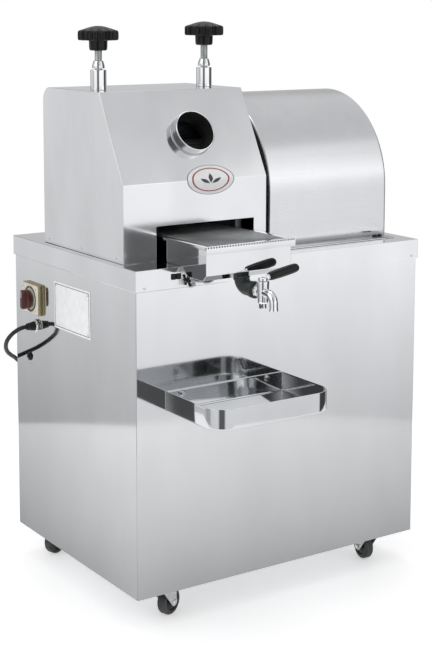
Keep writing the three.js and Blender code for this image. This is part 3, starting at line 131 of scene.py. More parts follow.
def lattice(points: Array, wrap_rows: bool = False, wrap_columns: bool = True, caps: bool = False) -> Form:
    """A surface from a table of points: each cell between four neighbours is a face.

    Args:
        points: Rows by columns by three.
        wrap_rows: Whether the last row meets the first.
        wrap_columns: Whether the last column meets the first.
        caps: Whether the first and the last row are closed with a flat face.

    Returns:
        The surface as a form.
    """
    rows, columns = points.shape[:2]
    i, j = np.meshgrid(np.arange(rows - (not wrap_rows)), np.arange(columns - (not wrap_columns)),
                       indexing="ij")
    i2, j2 = (i + 1) % rows, (j + 1) % columns
    cells = np.stack([i * columns + j, i * columns + j2, i2 * columns + j2, i2 * columns + j], -1)
    faces = [tuple(cell) for cell in cells.reshape(-1, 4).tolist()]
    if caps:
        faces += [tuple(range(columns))[::-1], tuple(range((rows - 1) * columns, rows * columns))]
    return Form(points.reshape(-1, 3), faces)


def round_turn(sides: int) -> Array:
    """Angles evenly round a circle."""
    return np.arange(sides) * 2 * math.pi / sides


def ring(radius: float, sides: int = 48) -> Array:
    """Points round a circle."""
    turn = round_turn(sides)
    return radius * np.c_[np.cos(turn), np.sin(turn)]


def unit(rows: Array) -> Array:
    """Each row at a length of one."""
    return rows / np.maximum(np.linalg.norm(rows, axis=1, keepdims=True), 1e-9)


def rounded(corners: Sequence[Row], steps: int = 6, closed: bool = False) -> Array:
    """A line whose corners are rounded: near each corner a quadratic curve leads from side to side.

    Args:
        corners: Each corner as (a, b, how far from it the rounding starts), or as (a, b) if it is sharp.
        steps: Pieces in each rounding.
        closed: Whether the last corner leads back to the first.

    Returns:
        The points of the line.
    """
    line = np.array([(*corner, 0)[:3] for corner in corners], float)
    spots, cuts = line[:, :2], line[:, 2:]
    start = spots + cuts * unit(np.roll(spots, 1, 0) - spots)
    end = spots + cuts * unit(np.roll(spots, -1, 0) - spots)
    t = np.linspace(0, 1, steps + 1)[None, :, None]
    curve = (1 - t) ** 2 * start[:, None] + 2 * t * (1 - t) * spots[:, None] + t ** 2 * end[:, None]
    bent = (cuts[:, 0] > 0) & (closed | (np.arange(len(line)) % (len(line) - 1) > 0))
    return np.vstack([curve[k] if bent[k] else spots[k:k + 1] for k in range(len(line))])


def loop(corners: Sequence[Row], steps: int = 6) -> Array:
    """A closed line whose corners are rounded."""
    return rounded(corners, steps, True)


def turned(profile: Array, sides: int = 64, lobes: Callable[[Array], Array] | None = None) -> Form:
    """A profile of (radius, height) carried round the Z axis.

    Args:
        profile: The profile's points, from foot to top, or closed.
        sides: Steps round the axis.
        lobes: A factor on the radius by angle, one row for each point of the profile.

    Returns:
        The turned shape; points on the axis are welded when the piece is built.
    """
    turn = round_turn(sides)
    radius = profile[:, :1] * (lobes(turn) if lobes else 1.0)
    height = np.broadcast_to(profile[:, 1:], (len(profile), sides))
    return lattice(np.stack([radius * np.cos(turn), radius * np.sin(turn), height], -1))


def lathe(corners: Sequence[Row], steps: int, sides: int) -> Form:
    """A rounded line of (radius, height) carried round the Z axis."""
    return turned(rounded(corners, steps), sides)


def smooth_path(points: Sequence[Row], steps: int) -> Array:
    """A cubic curve through the points, with slopes from their neighbours.

    Args:
        points: The points that the curve passes through.
        steps: Pieces between two of them.

    Returns:
        Points along the curve.
    """
    p = np.asarray(points, float)
    knots = np.r_[0, np.cumsum(np.linalg.norm(np.diff(p, axis=0), axis=1) ** 0.5)]
    slope = np.gradient(p, knots, axis=0)
    i = np.repeat(np.arange(len(p) - 1), steps)
    u = np.tile(np.arange(steps) / steps, len(p) - 1)[:, None]
    h = np.diff(knots)[i][:, None]
    curve = ((2 * u ** 3 - 3 * u ** 2 + 1) * p[i] + (u ** 3 - 2 * u ** 2 + u) * h * slope[i]
             + (3 * u ** 2 - 2 * u ** 3) * p[i + 1] + (u ** 3 - u ** 2) * h * slope[i + 1])
    return np.vstack([curve, p[-1:]])


def swept(path: Array, section: Array, closed: bool = False, up: Row = UP) -> Form:
    """A section carried along a path, kept square to it without twisting.

    Args:
        path: Points of the path.
        section: Points of the section, or one section for each point of the path.
        closed: Whether the path's end meets its start.
        up: The way the section's first axis looks at the start, as near as the path allows.

    Returns:
        A closed shape, with flat ends on an open path.
    """
    ahead = np.roll(path, -1, 0) - np.roll(path, 1, 0) if closed else np.gradient(path, axis=0)
    ahead /= np.linalg.norm(ahead, axis=1, keepdims=True)
    side, sides = np.asarray(up, float), []
    for way in ahead:
        side = side - side.dot(way) * way
        side = side / np.linalg.norm(side)
        sides.append(side)
    first = np.array(sides)
    second = np.cross(ahead, first)
    cuts = np.broadcast_to(section, (len(path), *section.shape[-2:]))
    points = path[:, None] + cuts[..., :1] * first[:, None] + cuts[..., 1:] * second[:, None]
    return lattice(points, wrap_rows=closed, caps=not closed)


def flat_sheet(outline: Array, holes: Sequence[Array], thickness: float, edge: float = 0.2) -> Form:
    """Flat sheet cut to an outline, with holes and eased edges, its back on the plane Z = 0.

    Args:
        outline: Points of the outline.
        holes: Points round each hole.
        thickness: Of the sheet.
        edge: How much of every edge is eased.

    Returns:
        The sheet as a closed form.
    """
    curve = bpy.data.curves.new("cutting_line", "CURVE")
    curve.dimensions, curve.fill_mode = "2D", "BOTH"
    for line in [outline, *holes]:
        spline = curve.splines.new("POLY")
        spline.points.add(len(line) - 1)
        flat = np.c_[line, np.zeros(len(line)), np.ones(len(line))]
        spline.points.foreach_set("co", flat.astype(np.float32).ravel())
        spline.use_cyclic_u = True
    curve.extrude, curve.bevel_depth = thickness / 2 - edge, edge
    curve.bevel_resolution, curve.offset = 2, -edge
    holder = bpy.data.objects.new("cutting_line", curve)
    bpy.context.scene.collection.objects.link(holder)
    mesh = bpy.data.meshes.new_from_object(holder.evaluated_get(bpy.context.evaluated_depsgraph_get()))
    points = np.empty(len(mesh.vertices) * 3, np.float32)
    mesh.vertices.foreach_get("co", points)
    faces = [tuple(face.vertices) for face in mesh.polygons]
    bpy.data.objects.remove(holder)
    bpy.data.curves.remove(curve)
    bpy.data.meshes.remove(mesh)
    return Form(points.reshape(-1, 3).astype(float) + [0, 0, thickness / 2], faces)


def rounded_box(width: float, height: float, corner: float) -> Array:
    """Outline of a rectangle with rounded corners, about its middle."""
    w, h = width / 2, height / 2
    return loop([(w, -h, corner), (w, h, corner), (-w, h, corner), (-w, -h, corner)])


def screw_head(radius: float, height: float, sides: int = 32) -> Form:
    """A domed screw head: an arc turned about its axis, sunk where it is near two crossing lines."""
    t = np.linspace(0, 1, 12)[:, None]
    turn = round_turn(sides)
    r = radius * np.sin(t * math.pi / 2)
    x, y = r * np.cos(turn), r * np.sin(turn)
    near = np.minimum(np.abs(x), np.abs(y)) < 0.14 * radius
    sunk = np.where(near & (np.hypot(x, y) < 0.62 * radius), 0.45 * height, 0)
    top = np.stack([x, y, height * np.cos(t * math.pi / 2) + 0 * x - sunk], -1)
    return lattice(np.vstack([top, 0 * top[:1]]))


def hexagon(flats: float, height: float, bore: float = 0.0) -> Form:
    """A nut or bolt head: a chamfered profile turned about its axis and pulled out to six flats.

    Args:
        flats: Distance across the flats.
        height: Of the head.
        bore: Radius of a hole through it, or 0.

    Returns:
        The closed form, its foot on the plane Z = 0.
    """
    r, c = flats / 2, height * 0.14
    edge = [(r * 0.95, 0), (r, c), (r, height - c), (r * 0.95, height)]
    profile = np.array([(bore, 0), *edge, (bore, height)] + ([(bore, 0)] if bore else []), float)
    full = (np.abs(profile[:, :1] - r) < 0.01).astype(float)

    def six(turn: Array) -> Array:
        """How far the six sides stand out, by angle."""
        out = 1 / np.cos((turn + math.pi / 6) % (math.pi / 3) - math.pi / 6)
        return 1 + full * (out - 1)

    return turned(profile, 60, six)


# Finishes


class Grain(Enum):
    """Which way the finest lines of a finish run, as patches per metre along each axis."""

    X = (25.0, 1400.0, 1400.0)
    Z = (1400.0, 1400.0, 25.0)
    NONE = (90.0, 90.0, 90.0)


class Graph:
    """Shorthand for the nodes of a material or a sky."""

    def __init__(self, tree: bpy.types.NodeTree, coordinates: str = "Object") -> None:
        """Starts with the coordinates, the object's own unless others are named."""
        self.tree = tree
        self.place = self.add("ShaderNodeTexCoord").outputs[coordinates]

    def add(self, kind: str, links: dict | None = None, **settings: object) -> bpy.types.Node:
        """Adds a node.

        Args:
            kind: The node's type.
            links: For each input, by name or number, a socket to join or a value to set.
            **settings: Properties of the node.

        Returns:
            The node.
        """
        node = self.tree.nodes.new(kind)
        for key, value in settings.items():
            setattr(node, key, value)
        for key, value in (links or {}).items():
            self.lead(value, node.inputs[key])
        return node

    def lead(self, value: object, entry: Socket) -> None:
        """Leads a socket into an input, or sets the input to a value."""
        if isinstance(value, Socket):
            self.tree.links.new(value, entry)
        else:
            entry.default_value = value

    def shade(self, **inputs: object) -> None:
        """Leads sockets or values into the shader; a name's low line stands for its space."""
        for name, value in inputs.items():
            self.lead(value, self.tree.nodes["Principled BSDF"].inputs[name.replace("_", " ")])

    def noise(self, scale: Row, detail: float = 3.0, rough: float = 0.5) -> Socket:
        """Soft noise with its own scale along each axis, in patches per metre."""
        spread = self.add("ShaderNodeMapping", {"Vector": self.place, "Scale": scale})
        links = {"Vector": spread.outputs[0], "Scale": 1.0, "Detail": detail, "Roughness": rough}
        return self.add("ShaderNodeTexNoise", links).outputs[0]

    def cells(self, scale: float, feature: str = "F1") -> bpy.types.Node:
        """Cells of about one over the scale, in metres."""
        return self.add("ShaderNodeTexVoronoi", {"Vector": self.place, "Scale": scale}, feature=feature)

    def math(self, operation: str, *values: Socket | float) -> Socket:
        """Arithmetic on sockets and numbers."""
        return self.add("ShaderNodeMath", dict(enumerate(values)), operation=operation).outputs[0]

    def mix(self, factor: Socket | float, a: object, b: object, blend: str = "MIX") -> Socket:
        """Two colours mixed or multiplied."""
        links = {"Factor": factor, 6: a, 7: b}
        return self.add("ShaderNodeMix", links, data_type="RGBA", blend_type=blend).outputs[2]

    def span(self, value: Socket, low: float, high: float, first: float, last: float) -> Socket:
        """A value between low and high brought between first and last."""
        return self.add("ShaderNodeMapRange", {"Value": value, 1: low, 2: high, 3: first, 4: last}).outputs[0]

    def spread(self, value: Socket, first: float, last: float) -> Socket:
        """Noise, which lies between 0.3 and 0.7, brought between two numbers."""
        return self.span(value, 0.3, 0.7, first, last)

    def ramp(self, value: Socket, stops: Sequence[tuple[float, Row]]) -> Socket:
        """A colour by a value from 0 to 1, through the stops."""
        node = self.add("ShaderNodeValToRGB", {"Fac": value})
        elements = node.color_ramp.elements
        while len(elements) < len(stops):
            elements.new(0.5)
        for stop, (place, colour) in zip(elements, stops):
            stop.position, stop.color = place, (*colour, 1)
        return node.outputs[0]

    def between(self, value: Socket, low: Row, high: Row) -> Socket:
        """A colour that goes from low to high as noise crosses its middle."""
        return self.ramp(value, [(0.35, low), (0.65, high)])

    def relief(self, height: Socket, depth: float, below: Socket | None = None) -> Socket:
        """Fine relief of a depth in metres, on top of another."""
        links = {"Height": height, "Distance": depth, "Strength": 1.0}
        return self.add("ShaderNodeBump", {**links, **({"Normal": below} if below else {})}).outputs[0]


@dataclass(frozen=True)
class Finish:
    """What every finish has: its name, a slot name that nothing reads, its colour and its roughness."""

    name: str
    slot: str
    colour: tuple[float, float, float]
    roughness: float

    def made(self) -> bpy.types.Material:
        """The finish as a material, made once."""
        material = bpy.data.materials.get(self.name)
        if not material:
            material = bpy.data.materials.new(self.name)
            material.use_nodes = True
            self.work(Graph(material.node_tree))
        return material

    def tint(self, share: float) -> tuple[float, ...]:
        """The colour made darker or paler."""
        return tuple(min(1.0, c * share) for c in self.colour)

    def work(self, graph: Graph) -> None:
        """Fills the material's nodes."""
        raise NotImplementedError


@dataclass(frozen=True)
class Metal(Finish):
    """Metal with a grain, soft clouds from rolling and handling, a slight waviness, and painted shade."""

    grain: Grain = Grain.NONE
    cloud: float = 0.05
    wave: float = 0.00008
    scratch: float = 0.0000006
    painted_shade: float = 0.0

    def work(self, graph: Graph) -> None:
        """Grain in roughness and relief, clouds in colour, long waves; painted shade grows to the floor and the
        rear.
        """
        fine = graph.noise(self.grain.value, 4.0, 0.6)
        clouds = graph.noise((7.0, 7.0, 3.0), 3.0, 0.55)
        tone = graph.between(clouds, self.tint(1 - self.cloud), self.tint(1 + self.cloud))
        # Painted shade: the colour is multiplied darker lower down and further back, standing in for darker
        # reflections near the floor.
        if self.painted_shade:
            level = graph.add("ShaderNodeSeparateXYZ", {0: graph.place}).outputs["Z"]
            rear = {0: graph.place, 1: (0.14, 0.67, 0.0)}
            back = graph.add("ShaderNodeVectorMath", rear, operation="DOT_PRODUCT").outputs["Value"]
            low = graph.math("MULTIPLY", graph.math("SUBTRACT", 0.62, level), graph.math("ADD", back, 1.145))
            tone = graph.mix(1.0, tone, graph.span(low, 0.0, 0.9, 1.0, 1 - self.painted_shade), "MULTIPLY")
        both = graph.math("MULTIPLY_ADD", fine, clouds, 0.25)
        wave = graph.relief(graph.noise((5.0, 5.0, 5.0), 1.0), self.wave)
        graph.shade(Metallic=1.0, Base_Color=tone, Normal=graph.relief(fine, self.scratch, wave),
                    Roughness=graph.spread(both, self.roughness * 0.75, self.roughness * 1.25))


@dataclass(frozen=True)
class Zinc(Finish):
    """Zinc plate: dull metal whose crystals differ a little, with grey bloom."""

    def work(self, graph: Graph) -> None:
        """Crystal cells in colour and roughness."""
        tone = graph.add("ShaderNodeSeparateColor", {"Color": graph.cells(420.0).outputs["Color"]}).outputs[0]
        bloom = graph.noise((35.0, 35.0, 35.0), 5.0, 0.6)
        value = graph.math("ADD", graph.math("MULTIPLY", tone, 0.12), bloom)
        graph.shade(Metallic=0.92, Base_Color=graph.between(value, self.tint(0.72), self.colour),
                    Roughness=graph.spread(value, self.roughness * 1.3, self.roughness * 0.8),
                    Normal=graph.relief(bloom, 0.00003))


@dataclass(frozen=True)
class Moulded(Finish):
    """Moulded plastic or rubber: fine spark texture, faint sink marks and handling gloss."""

    texture: float = 0.00002
    dust: float = 0.05
    gloss: float = 0.25

    def work(self, graph: Graph) -> None:
        """Fine noise in the surface, dust in colour and roughness."""
        dusty = graph.noise((45.0, 45.0, 45.0), 4.0, 0.6)
        pale = tuple(c + (0.55 - c) * self.dust for c in self.colour)
        sink = graph.relief(graph.noise((60.0, 60.0, 60.0), 1.0), 0.00008)
        grit = graph.noise((1500.0, 1500.0, 1500.0), 2.0)
        graph.shade(Specular_IOR_Level=self.gloss, Base_Color=graph.between(dusty, self.colour, pale),
                    Roughness=graph.spread(dusty, self.roughness * 0.85, self.roughness * 1.2),
                    Normal=graph.relief(grit, self.texture, sink))


@dataclass(frozen=True)
class Painted(Finish):
    """Hammered paint over a casting: rounded cells, chipped darker where it is worn."""

    def work(self, graph: Graph) -> None:
        """Cells in the relief, noise in colour and gloss."""
        worn = graph.noise((22.0, 22.0, 22.0), 6.0, 0.65)
        graph.shade(Metallic=0.25, Base_Color=graph.between(worn, self.tint(0.62), self.colour),
                    Roughness=graph.spread(worn, self.roughness * 1.25, self.roughness * 0.8),
                    Normal=graph.relief(graph.cells(260.0, "SMOOTH_F1").outputs["Distance"], 0.0004))


@dataclass(frozen=True)
class Printed(Finish):
    """Printed film or enamelled plate: even colour with faint rubbing and a light gloss."""

    def work(self, graph: Graph) -> None:
        """Rubbing in colour and roughness, and a coat."""
        rubbed = graph.noise((60.0, 60.0, 60.0), 6.0, 0.7)
        graph.shade(Coat_Weight=0.25, Coat_Roughness=0.2, Normal=graph.relief(rubbed, 0.00002),
                    Base_Color=graph.between(rubbed, self.tint(0.9), self.colour),
                    Roughness=graph.spread(rubbed, self.roughness * 0.8, self.roughness * 1.3))


@dataclass(frozen=True)
class Backdrop(Finish):
    """Lit matt acrylic of the studio's floor."""

    glow: float = 0.42

    def work(self, graph: Graph) -> None:
        """A very faint tooth, lit softly from below."""
        tooth = graph.noise((8.0, 8.0, 8.0), 3.0)
        graph.shade(Base_Color=graph.between(tooth, self.tint(0.99), self.colour), Emission_Color=WHITE,
                    Emission_Strength=self.glow)


PANEL = Metal("panel_steel", "polished_steel", (0.77, 0.78, 0.79), 0.07, Grain.Z, 0.03, painted_shade=0.87)
SHEET = Metal("bright_sheet", "polished_steel", (0.73, 0.74, 0.75), 0.13, Grain.Z, 0.05)
WORKTOP = Metal("worktop_steel", "polished_steel", (0.76, 0.77, 0.78), 0.09, Grain.X, 0.04)
COVER = Metal("cover_steel", "polished_steel", (0.67, 0.68, 0.69), 0.25, Grain.X, 0.04, scratch=0.0000003)
MIRROR = Metal("mirror_steel", "polished_steel", (0.60, 0.61, 0.62), 0.05, Grain.NONE, 0.05, 0.0001, 1e-7)
TROUGH = Metal("trough_steel", "polished_steel", (0.73, 0.74, 0.75), 0.05, Grain.NONE, 0.05, 0.0001, 1e-7)
SATIN = Metal("brushed_plate", "satin_steel", (0.50, 0.51, 0.52), 0.32, Grain.X, 0.10)
# The strainer's steel is a darker copy of the brushed steel: painted shade for the dark trough seen through its
# holes.
MESH = Metal("strainer_steel_shaded", "satin_steel", (0.25, 0.26, 0.26), 0.36, Grain.NONE, 0.45)
CHROME = Metal("bright_chrome", "chrome", (0.80, 0.81, 0.82), 0.05, Grain.NONE, 0.03, 0.00002)
NUT = Metal("spun_steel", "chrome", (0.74, 0.74, 0.73), 0.20, Grain.Z, 0.05, 0.00002)
ZINC = Zinc("zinc_plate", "zinc", (0.56, 0.58, 0.58), 0.36)
CAST = Painted("hammered_paint", "cast_metal", (0.13, 0.19, 0.16), 0.42)
BLACK = Moulded("knob_moulding", "black_plastic", (0.006, 0.006, 0.007), 0.20, 0.000008, 0.01, gloss=0.22)
RUBBER = Moulded("lead_rubber", "black_rubber", (0.008, 0.008, 0.009), 0.45, 0.00002, 0.04)
TYRE = Moulded("tyre_rubber", "black_rubber", (0.022, 0.023, 0.024), 0.5, 0.00003, 0.08)
CREAM = Moulded("switch_moulding", "cream_plastic", (0.72, 0.68, 0.55), 0.4)
OLIVE = Metal("olive_passivated_steel", "cream_plastic", (0.42, 0.36, 0.20), 0.35, Grain.NONE, 0.15)
RED = Moulded("red_brown_plastic", "red_plastic", (0.065, 0.012, 0.010), 0.3)
DARK = Moulded("elbow_moulding", "dark_fitting", (0.050, 0.058, 0.054), 0.28, 0.00002, 0.03, gloss=0.25)
PLATE = Printed("white_enamel", "polished_steel", (0.93, 0.94, 0.94), 0.4)
INK = Printed("dark_ink", "polished_steel", (0.035, 0.035, 0.04), 0.4)
RED_INK = Printed("red_ink", "red_plastic", (0.33, 0.03, 0.025), 0.4)
SILVER = Printed("silver_film", "polished_steel", (0.95, 0.95, 0.95), 0.35)


class Workshop:
    """Turns forms into pieces, and puts finishes on the nodes that stay."""

    made: int = 0
    WELD = 2e-6
    EASED_FROM = 24.0

    @classmethod
    def piece(cls, name: str, form: Form, finish: Finish, replaces: Sequence[str] = (), body: str = "cabinet",
              sharp: float = 35.0) -> Object:
        """Makes one piece that rides on a body.

        Args:
            name: Of the piece.
            form: In metres in the row frame.
            finish: What it is coated with.
            replaces: The frame's nodes that it stands for.
            body: The body that it moves with.
            sharp: Edges that turn more than this many degrees stay sharp.

        Returns:
            The piece.
        """
        mesh = bpy.data.meshes.new(name)
        mesh.from_pydata(form.points.tolist(), [], form.faces)
        work = bmesh.new()
        work.from_mesh(mesh)
        bmesh.ops.remove_doubles(work, verts=work.verts, dist=cls.WELD)
        bmesh.ops.dissolve_degenerate(work, edges=work.edges, dist=1e-6)
        bmesh.ops.recalc_face_normals(work, faces=work.faces)
        work.to_mesh(mesh)
        work.free()
        mesh.shade_smooth()
        mesh.set_sharp_from_angle(angle=math.radians(sharp))
        mesh.materials.append(finish.made())
        piece = bpy.data.objects.new(name, mesh)
        bpy.context.scene.collection.objects.link(piece)
        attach(piece, body)
        if replaces:
            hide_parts(*replaces)
        cls.made += 1
        return piece

    @classmethod
    def drawn(cls, name: str, form: Form, *rest: object, **more: object) -> Object:
        """A piece whose form is in the drawing's millimetres; the rest is as for a piece."""
        return cls.piece(name, form.moved(drawing()), *rest, **more)

    @classmethod
    def dress(cls, finish: Finish, edge: float, *nodes: str) -> None:
        """Finishes nodes of the frame: a merged copy of each, with eased edges and even shading.

        Args:
            finish: For all their faces.
            edge: Width of the eased edges, in millimetres.
            *nodes: Their names.
        """
        for name in nodes:
            node = frame["nodes"][name]
            body = next(key for key, empty in frame["bodies"].items() if empty == node.parent)
            piece = cls.piece(name + "_dressed", cls.merged(node.data), finish, (name,), body,
                              sharp=cls.EASED_FROM)
            bevel = piece.modifiers.new("eased_edges", "BEVEL")
            bevel.width, bevel.segments, bevel.limit_method = edge * MM, 2, "ANGLE"
            bevel.angle_limit = math.radians(cls.EASED_FROM)
            piece.modifiers.new("even_shading", "WEIGHTED_NORMAL").keep_sharp = True

    @staticmethod
    def merged(mesh: bpy.types.Mesh) -> Form:
        """A node's shape with its corners welded and its flat faces whole."""
        work = bmesh.new()
        work.from_mesh(mesh)
        bmesh.ops.remove_doubles(work, verts=work.verts, dist=1e-5)
        bmesh.ops.dissolve_limit(work, angle_limit=math.radians(0.4), verts=work.verts, edges=work.edges)
        points = np.array([v.co[:] for v in work.verts])
        work.verts.index_update()
        faces = [tuple(v.index for v in face.verts) for face in work.faces]
        work.free()
        return Form(points, faces)


def heads(name: str, places: Sequence[Matrix], finish: Finish, radius: float = 3.2, height: float = 1.6,
          body: str = "cabinet") -> Object:
    """Screw heads at several places, as one piece.

    Args:
        name: Of the piece.
        places: Where each head sits, looking along its own Z.
        finish: Of the heads.
        radius: Of each head.
        height: Of each head.
        body: The body that they move with.

    Returns:
        The piece.
    """
    head = screw_head(radius, height)
    return Workshop.piece(name, Form.joined([head.moved(place) for place in places]), finish, body=body,
                          sharp=25)


# The studio


@dataclass(frozen=True)
class Studio:
    """Camera at the photograph's angle, pale floor and soft light."""

    place: tuple[float, float, float] = (-1.48625, -2.1812, 1.0735)
    yaw: float = -33.66
    pitch: float = -7.06
    roll: float = -0.09
    lens: float = 76.5
    shift: float = -0.224
    spread: float = 1.3

    def build(self) -> None:
        """Camera, floor, lights and sky."""
        self.camera()
        self.floor()
        self.light("key_softbox", (-3.2, 0.2, 2.6), (0, 0, 0.6), 2.6, 26)
        self.light("front_softbox", (2.6, -3.4, 2.4), (0, 0, 0.5), 2.8, 10)
        self.light("top_softbox", (0.3, 0.4, 3.6), (0, 0, 0), 1.6, 14)
        self.sky()
        bpy.context.scene.view_settings.view_transform = "Standard"

    def camera(self) -> None:
        """The camera, with the optical axis above the middle of the picture."""
        data = bpy.data.cameras.new("camera")
        data.lens, data.sensor_width, data.shift_y = self.lens, 36.0, self.shift
        data.dof.use_dof = False
        camera = bpy.data.objects.new("camera", data)
        camera.location = self.place
        camera.rotation_euler = np.radians((90 + self.pitch, self.roll, self.yaw))
        bpy.context.scene.collection.objects.link(camera)
        bpy.context.scene.camera = camera

    def floor(self) -> None:
        """A round floor: rings of points whose radius grows evenly, the rim rolled down."""
        radius = np.r_[0, np.linspace(0.1, self.spread, 14), self.spread + 0.004]
        form = turned(np.c_[radius, np.r_[np.zeros(15), -0.01]], 96)
        mesh = bpy.data.meshes.new("floor")
        mesh.from_pydata(form.points.tolist(), [], form.faces)
        mesh.shade_smooth()
        mesh.materials.append(Backdrop("studio_floor", "", (0.94, 0.94, 0.94), 0.9).made())
        floor = bpy.data.objects.new("floor", mesh)
        bpy.context.scene.collection.objects.link(floor)

    @staticmethod
    def light(name: str, place: Row, aim: Row, size: float, power: float) -> None:
        """A square soft light, its side in metres and its power in watts, that looks at a point."""
        data = bpy.data.lights.new(name, "AREA")
        data.size, data.energy = size, power
        lamp = bpy.data.objects.new(name, data)
        lamp.location = place
        lamp.rotation_euler = (Vector(aim) - Vector(place)).to_track_quat("-Z", "Y").to_euler()
        bpy.context.scene.collection.objects.link(lamp)

    @staticmethod
    def sky() -> None:
        """Bright round the horizon, greyer overhead, with dark flags between bright panels."""
        world = bpy.data.worlds.new("studio")
        world.use_nodes = True
        bpy.context.scene.world = world
        graph = Graph(world.node_tree, "Generated")
        parts = graph.add("ShaderNodeSeparateXYZ", {0: graph.place}).outputs
        azimuth = graph.math("MULTIPLY", graph.math("ARCTAN2", parts["Y"], parts["X"]), 180 / math.pi)

        def tones(value: Socket, end: float, stops: Sequence[tuple[float, float]]) -> Socket:
            """Brightness by a value between two like ends, through the stops."""
            share = graph.span(value, -end, end, 0.0, 1.0)
            return graph.ramp(share, [((place + end) / (2 * end), (tone,) * 3) for place, tone in stops])

        rise = tones(parts["Z"], 1, [(-1, 0.7), (-0.3, 0.8), (-0.12, 0.92), (0.0, 1.0), (0.2, 0.92),
                                     (0.42, 0.70), (0.62, 0.62), (0.8, 0.56), (1.0, 0.66)])
        flags = tones(azimuth, 180, [(-180, 0.9), (-134, 1), (-44, 1), (-37, 0.07), (8, 0.07), (16, 0.52),
                                     (76, 0.52), (83, 0.1), (105, 0.1), (110, 0.72), (138, 0.72), (150, 0.5),
                                     (168, 0.5), (180, 0.9)])
        near = tones(parts["Z"], 1, [(-0.6, 0), (-0.35, 1), (0.35, 1), (0.6, 0)])
        low = tones(parts["Z"], 1, [(-0.7, 1), (0.66, 1), (0.75, 0)])
        front = tones(azimuth, 180, [(-146, 1), (-137, 0.15), (-115, 0.15), (-106, 1)])
        light = graph.mix(1.0, graph.mix(near, WHITE, flags), graph.mix(low, WHITE, front), "MULTIPLY")
        light = graph.mix(1.0, graph.mix(1.0, light, rise, "MULTIPLY"), (1.2, 1.2, 1.22, 1), "MULTIPLY")
        seen = graph.add("ShaderNodeLightPath").outputs["Is Camera Ray"]
        graph.lead(graph.mix(seen, light, WHITE), world.node_tree.nodes["Background"].inputs[0])


# The lead


